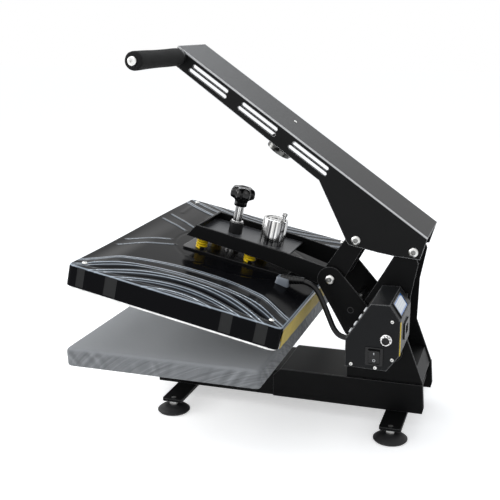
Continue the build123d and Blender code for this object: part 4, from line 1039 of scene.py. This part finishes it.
# The control box's side
BOX_SIDE = 210.0

# Button head and small pan head, each with a hexagon socket, and the radius of the socket
BUTTON_HEIGHT = 4.6
BUTTON_HEAD = [(9.3, 0.0), (9.7, 0.4), (9.7, 1.1), (9.1, 2.3), (7.9, 3.4), (6.4, 4.2), (5.5, BUTTON_HEIGHT)]
BUTTON_HEAD += [(4.7, 4.5, 1), (4.5, 4.0, 1), (4.4, 1.6, 1), (0.6, 1.3, 1)]
BUTTON_SOCKET = 4.75
PAN_HEAD = [(3.4, 0.0), (3.6, 0.2), (3.6, 0.8), (3.1, 1.6), (2.2, 2.1), (1.5, 2.2), (1.2, 2.1, 1), (1.1, 0.9, 1)]
PAN_HEAD += [(0.2, 0.8, 1)]
PAN_SOCKET = 1.3


def make_screws():
    """Heads at both ends of each shaft, on the control box, on the cover and in the arm's top."""
    button = lathe(BUTTON_HEAD, 24, hexagon)
    shafts = {"handle_shaft_screws": "base", "link_pin_screws": "handle", "press_link_screws": "press_arm"}
    for node, body in shafts.items():
        low, high = (Vector(corner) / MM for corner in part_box(node))
        _, y, z = (low + high) / 2
        spots = [((high.x - BUTTON_HEIGHT, y, z), RIGHTWARDS, 1.0), ((low.x + BUTTON_HEIGHT, y, z), LEFTWARDS, 1.0)]
        scatter(node + "_heads", button, spots, ZINC, BUTTON_SOCKET, body, "bright_steel", node)
    pan = lathe(PAN_HEAD, 18, hexagon)
    places = ((210.0, 173.0), (287.0, 189.0), (285.0, 263.0), (256.0, 170.3))
    on_box = [((BOX_SIDE, y, z), RIGHTWARDS, 1.0) for y, z in places]
    on_cover = []
    for x in (-298.0, 298.0):
        height = crown_height(22.0) + rim_rise(x, 22.0)
        on_cover += [(tuple(on_platen(x, s, height) / MM), ON_PLATEN, 1.5) for s in (-192.0, 190.0)]
    on_arm = [((-16.0, *arm_spot(352.0, 0.0)), ON_ARM, 1.0)]
    scatter("box_screw_heads", pan, on_box, ZINC, PAN_SOCKET, "base", "bright_steel", "box_screws")
    scatter("cover_screw_heads", pan, on_cover, ZINC, PAN_SOCKET, "upper_platen", "bright_steel", "cover_screws")
    scatter("arm_top_screw", pan, on_arm, ZINC, PAN_SOCKET, "handle", "bright_steel")


def make_springs():
    """Four closely wound springs between the mount plate and the tray."""
    foot, seat, wire, turns, radius = 17.0, 50.0, 2.3, 5.3, 10.4
    tree, start, end = new_tree("spring_tree", dict.fromkeys(("Turns", "Radius", "Rise", "Wire"), "Float"))
    inputs = {"Resolution": 28, "Rotations": start["Turns"], "Height": start["Rise"]}
    inputs.update({"Start Radius": start["Radius"], "End Radius": start["Radius"]})
    coil = add_node(tree, "GeometryNodeCurveSpiral", inputs)
    ring = add_node(tree, "GeometryNodeCurvePrimitiveCircle", {"Resolution": 10, "Radius": start["Wire"]})
    inputs = {"Curve": coil.outputs[0], "Profile Curve": ring.outputs[0], "Fill Caps": True}
    wound = add_node(tree, "GeometryNodeCurveToMesh", inputs)
    finish_tree(tree, start, end, wound.outputs[0], SPRING_YELLOW, smooth=True)
    places = [on_platen(x, s, foot + wire) / MM for x in (-53.0, 53.0) for s in (-46.3, 62.1)]
    values = {"Turns": turns, "Radius": radius * MM, "Rise": (seat - foot - 2 * wire) * MM, "Wire": wire * MM}
    piece = grow("wound_springs", [(tuple(place), ON_PLATEN, 1.0) for place in places], tree, values)
    low, high = (tuple(Vector(on_platen(0.0, 8.0, height))) for height in (foot, seat))
    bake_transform(piece)
    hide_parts("lift_springs")


def make_knob():
    """Seven-lobed hand knob with a domed head."""

    def lobes(angles, _):
        return 0.12 * np.cos(7 * angles + 0.4) - 0.12

    profile = [(9.6, 114.4), (12.8, 114.5), (13.6, 115.6), (13.8, 123.0), (14.4, 126.5, 0.1), (16.5, 129.0, 0.3)]
    profile += [(20.5, 131.0, 0.7), (24.6, 133.0, 1), (26.4, 135.4, 1), (27.0, 139.0, 1), (26.9, 145.0, 1)]
    profile += [(26.0, 149.5, 1), (23.6, 152.8, 0.95), (19.5, 155.0, 0.7), (14.5, 156.0, 0.3), (10.8, 156.3, 0.1)]
    profile += [(10.0, 155.9), (9.6, 155.0), (0.6, 154.8)]
    knob = lathe(profile, 84, lobes, (0.0, STUD_ALONG, 0.0))
    stand("star_knob_head", knob, on_platen, KNOB_PLASTIC, "pressure_screw", "black_plastic", "star_knob")


def make_relief():
    """Ribbed taper round the cable on a flat-topped block that is screwed to the cover."""
    rings = [(8.0, 44.0), (9.6, 44.4), (10.2, 46.0)]
    for rib in range(7):
        at = 50.0 + 6.0 * rib
        wide = 10.0 - 0.45 * rib
        rings += [(wide, at), (wide, at + 3.2), (wide - 0.7, at + 3.7), (wide - 0.7, at + 5.3)]
    rings += [(6.9, 92.6), (6.4, 93.4), (5.4, 93.4)]
    exit_x, _, exit_z = CABLE_SPOTS[0]
    taper = stand("cable_relief", lathe(rings, 28, None, (exit_x, exit_z, 0.0)), laid_back, SHEATH)
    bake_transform(taper)
    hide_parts("strain_relief")
    steps = [(1.0, 9.6, 1), (1.06, 10.4, 1), (1.06, 14.0, 1), (1.0, 18.5, 1), (0.97, 24.6, 1), (0.9, 26.2, 1)]
    steps += [(0.8, 26.6, 1), (0.02, 26.6, 1)]
    block = lathe(steps, 48, soft_rectangle, (exit_x, 155.5, 0.0), (12.5, 14.0, 1.0))
    # The block's light grey-blue colour is a painted reflection on black plastic
    stand("relief_block", block, on_platen, RELIEF_PAINTED_REFLECTION, "upper_platen", "black_plastic")


def make_insulation():
    """Glass tape folded over the platen's rear side, where the cover is open."""
    x = np.linspace(-299.0, 299.0, 61)
    folds = ((214.4, -44.2), (215.6, -43.8), (215.7, -30.0), (215.3, -18.0), (215.6, -8.2), (214.5, -7.4))
    points = [on_platen(x, s + 0.25 * np.sin(x / 9.0 + h / 6.0), h) for s, h in folds]
    lows = [row * len(x) + step for row in range(len(folds) - 1) for step in range(len(x) - 1)]
    faces = [(low, low + 1, low + len(x) + 1, low + len(x)) for low in lows]
    piece = mesh_piece("rear_insulation", np.concatenate(points), faces, TAPE)
    wall = piece.modifiers.new("thickness", "SOLIDIFY")
    wall.thickness = 0.0008
    wall.offset = -1.0
    settle(piece, "upper_platen", "insulation")


def make_magnet():
    """Turned magnet pot with a grooved face and a sunk socket screw, and the pin beside it."""
    pot = [(0.4, 54.1), (26.1, 54.1), (26.5, 54.6), (26.5, 106.9), (26.0, 107.8), (25.0, 108.2), (20.8, 108.2)]
    pot += [(20.3, 106.4), (16.3, 106.4), (15.8, 108.2), (9.8, 108.2), (9.2, 106.8), (7.6, 106.8), (7.4, 107.9)]
    pot += [(5.6, 108.2), (4.5, 108.1, 1), (4.3, 105.2, 1), (0.4, 105.0, 1)]
    pin = [(5.4, 107.6), (5.4, 112.4), (4.0, 113.0), (4.0, 117.6), (5.6, 118.0), (5.8, 118.8), (5.8, 122.4)]
    pin += [(5.0, 123.8), (3.2, 124.0), (2.8, 122.6, 1), (0.3, 122.4, 1)]
    for name, profile, around, along, finish, node in (
        ("magnet_body", pot, 48, MAGNET_ALONG, POT_CHROME, "magnet_pot"),
        ("magnet_bolt", pin, 36, PIN_ALONG, PIN_CHROME, "magnet_pin"),
    ):
        shape = lathe(profile, around, hexagon, (0.0, along, 0.0))
        stand(name, shape, on_platen, finish, "press_arm", "chrome", node)


def make_connector():
    """Knurled plug socket on the box: a ribbed metal ring round a black insert."""

    def knurl(angles, _):
        return 0.085 * np.cos(9 * angles) - 0.085

    ring = [(10.4, 0.0), (10.8, 0.4), (10.8, 1.8), (9.8, 2.2), (10.0, 2.8, 1), (10.1, 3.4, 1), (10.1, 7.6, 1)]
    ring += [(9.6, 8.6, 1), (8.9, 9.2, 0.5), (8.2, 9.4), (7.6, 9.2), (7.2, 8.6), (7.2, 4.0), (0.5, 4.0)]
    insert = [(7.0, 4.2), (7.0, 7.4), (6.6, 7.8), (5.2, 7.8), (4.9, 6.4), (3.0, 6.2), (2.6, 7.2), (0.3, 7.3)]
    middle = (275.0, 227.0, BOX_SIDE)
    ring, insert = lathe(ring, 108, knurl, middle), lathe(insert, 32, None, middle)
    stand("connector_ring", ring, laid_across, CHROME, "base", "chrome", "round_connector")
    stand("connector_insert", insert, laid_across, PLASTIC, "base", "black_plastic")


def make_louvres():
    """Four raised louvres in a row on the box's front slope, coloured white as a painted highlight on the black
    moulding.
    """
    steps = [(1.0, 0.0, 1), (1.0, 0.8, 1), (0.96, 1.7, 1), (0.85, 2.5, 1), (0.6, 2.9, 1), (0.02, 3.0, 1)]
    louvre = lathe(steps, 40, soft_rectangle, stretch=(6.0, 4.2, 1.0))
    slope = math.atan2(72.0, 45.6)
    spots = []
    for along in (-25.5, -8.5, 8.5, 25.5):
        place = (202.5, 220.8 + along * math.cos(slope), 258.0 + along * math.sin(slope))
        spots.append((place, (slope, 0.0, 0.0), 1.0))
    # The louvres are white: a painted highlight, the moulding itself is black plastic
    scatter("vent_louvres", louvre, spots, WHITE_PRINT_AND_HIGHLIGHT, 0.0, "base", "black_plastic")


def flat_strip(name, corners, depth, finish):
    """A thin plate: four corners of its back and how far its face stands off."""
    back = np.array(corners, float)
    lift = np.cross(back[1] - back[0], back[3] - back[0])
    lift = lift / np.linalg.norm(lift)
    front = back + lift * depth
    middle = front.mean(axis=0)
    top = middle + (front - middle) * 0.97 + lift * depth * 0.25
    points = np.concatenate([back, front, top]) * MM
    faces = ring_faces(4, 3, close_first=True, close_last=True)
    piece = mesh_piece(name, points, faces, finish, smooth=False)
    tidy(piece, 1e-7)
    piece.data.shade_flat()
    return piece


def make_marks():
    """On and off marks of the rocker, and a plain trim strip beside the display."""
    lean = math.radians(9.0)

    def rocker(out, across, up):
        x = 208.0 + out * math.cos(lean) + up * math.sin(lean)
        z = 192.5 - out * math.sin(lean) + up * math.cos(lean)
        return (x, 253.5 + across, z)

    bar = [rocker(5.0, -0.8, 5.2), rocker(5.0, 0.8, 5.2), rocker(5.3, 0.8, 9.8), rocker(5.3, -0.8, 9.8)]
    settle(flat_strip("rocker_on_mark", bar, 0.4, WHITE_PRINT_AND_HIGHLIGHT), "switch_key", "black_plastic")
    around, points = 24, []
    for radius, out in ((2.9, 4.7), (2.9, 5.5), (1.8, 5.5), (1.8, 4.7)):
        for angle in np.arange(around) / around * 2 * math.pi:
            points.append(rocker(out, radius * math.cos(angle), -7.0 + radius * math.sin(angle)))
    faces = ring_faces(around, 4)
    faces += [(72 + c, 72 + (c + 1) % around, (c + 1) % around, c) for c in range(around)]
    ring = mesh_piece("rocker_off_mark", np.array(points) * MM, faces, WHITE_PRINT_AND_HIGHLIGHT)
    tidy(ring, 1e-7)
    settle(ring, "switch_key", "black_plastic")
    trim = [(x, 300.0, z) for x, z in ((209.6, 198.0), (203.4, 198.0), (203.4, 263.0), (209.6, 263.0))]
    settle(flat_strip("rear_trim", trim, 0.9, YELLOW_TRIM), "base", "black_plastic")


make_grip()
make_screws()
make_springs()
make_knob()
make_relief()
make_insulation()
make_magnet()
make_connector()
make_louvres()
make_marks()

scene.view_settings.view_transform = "Standard"
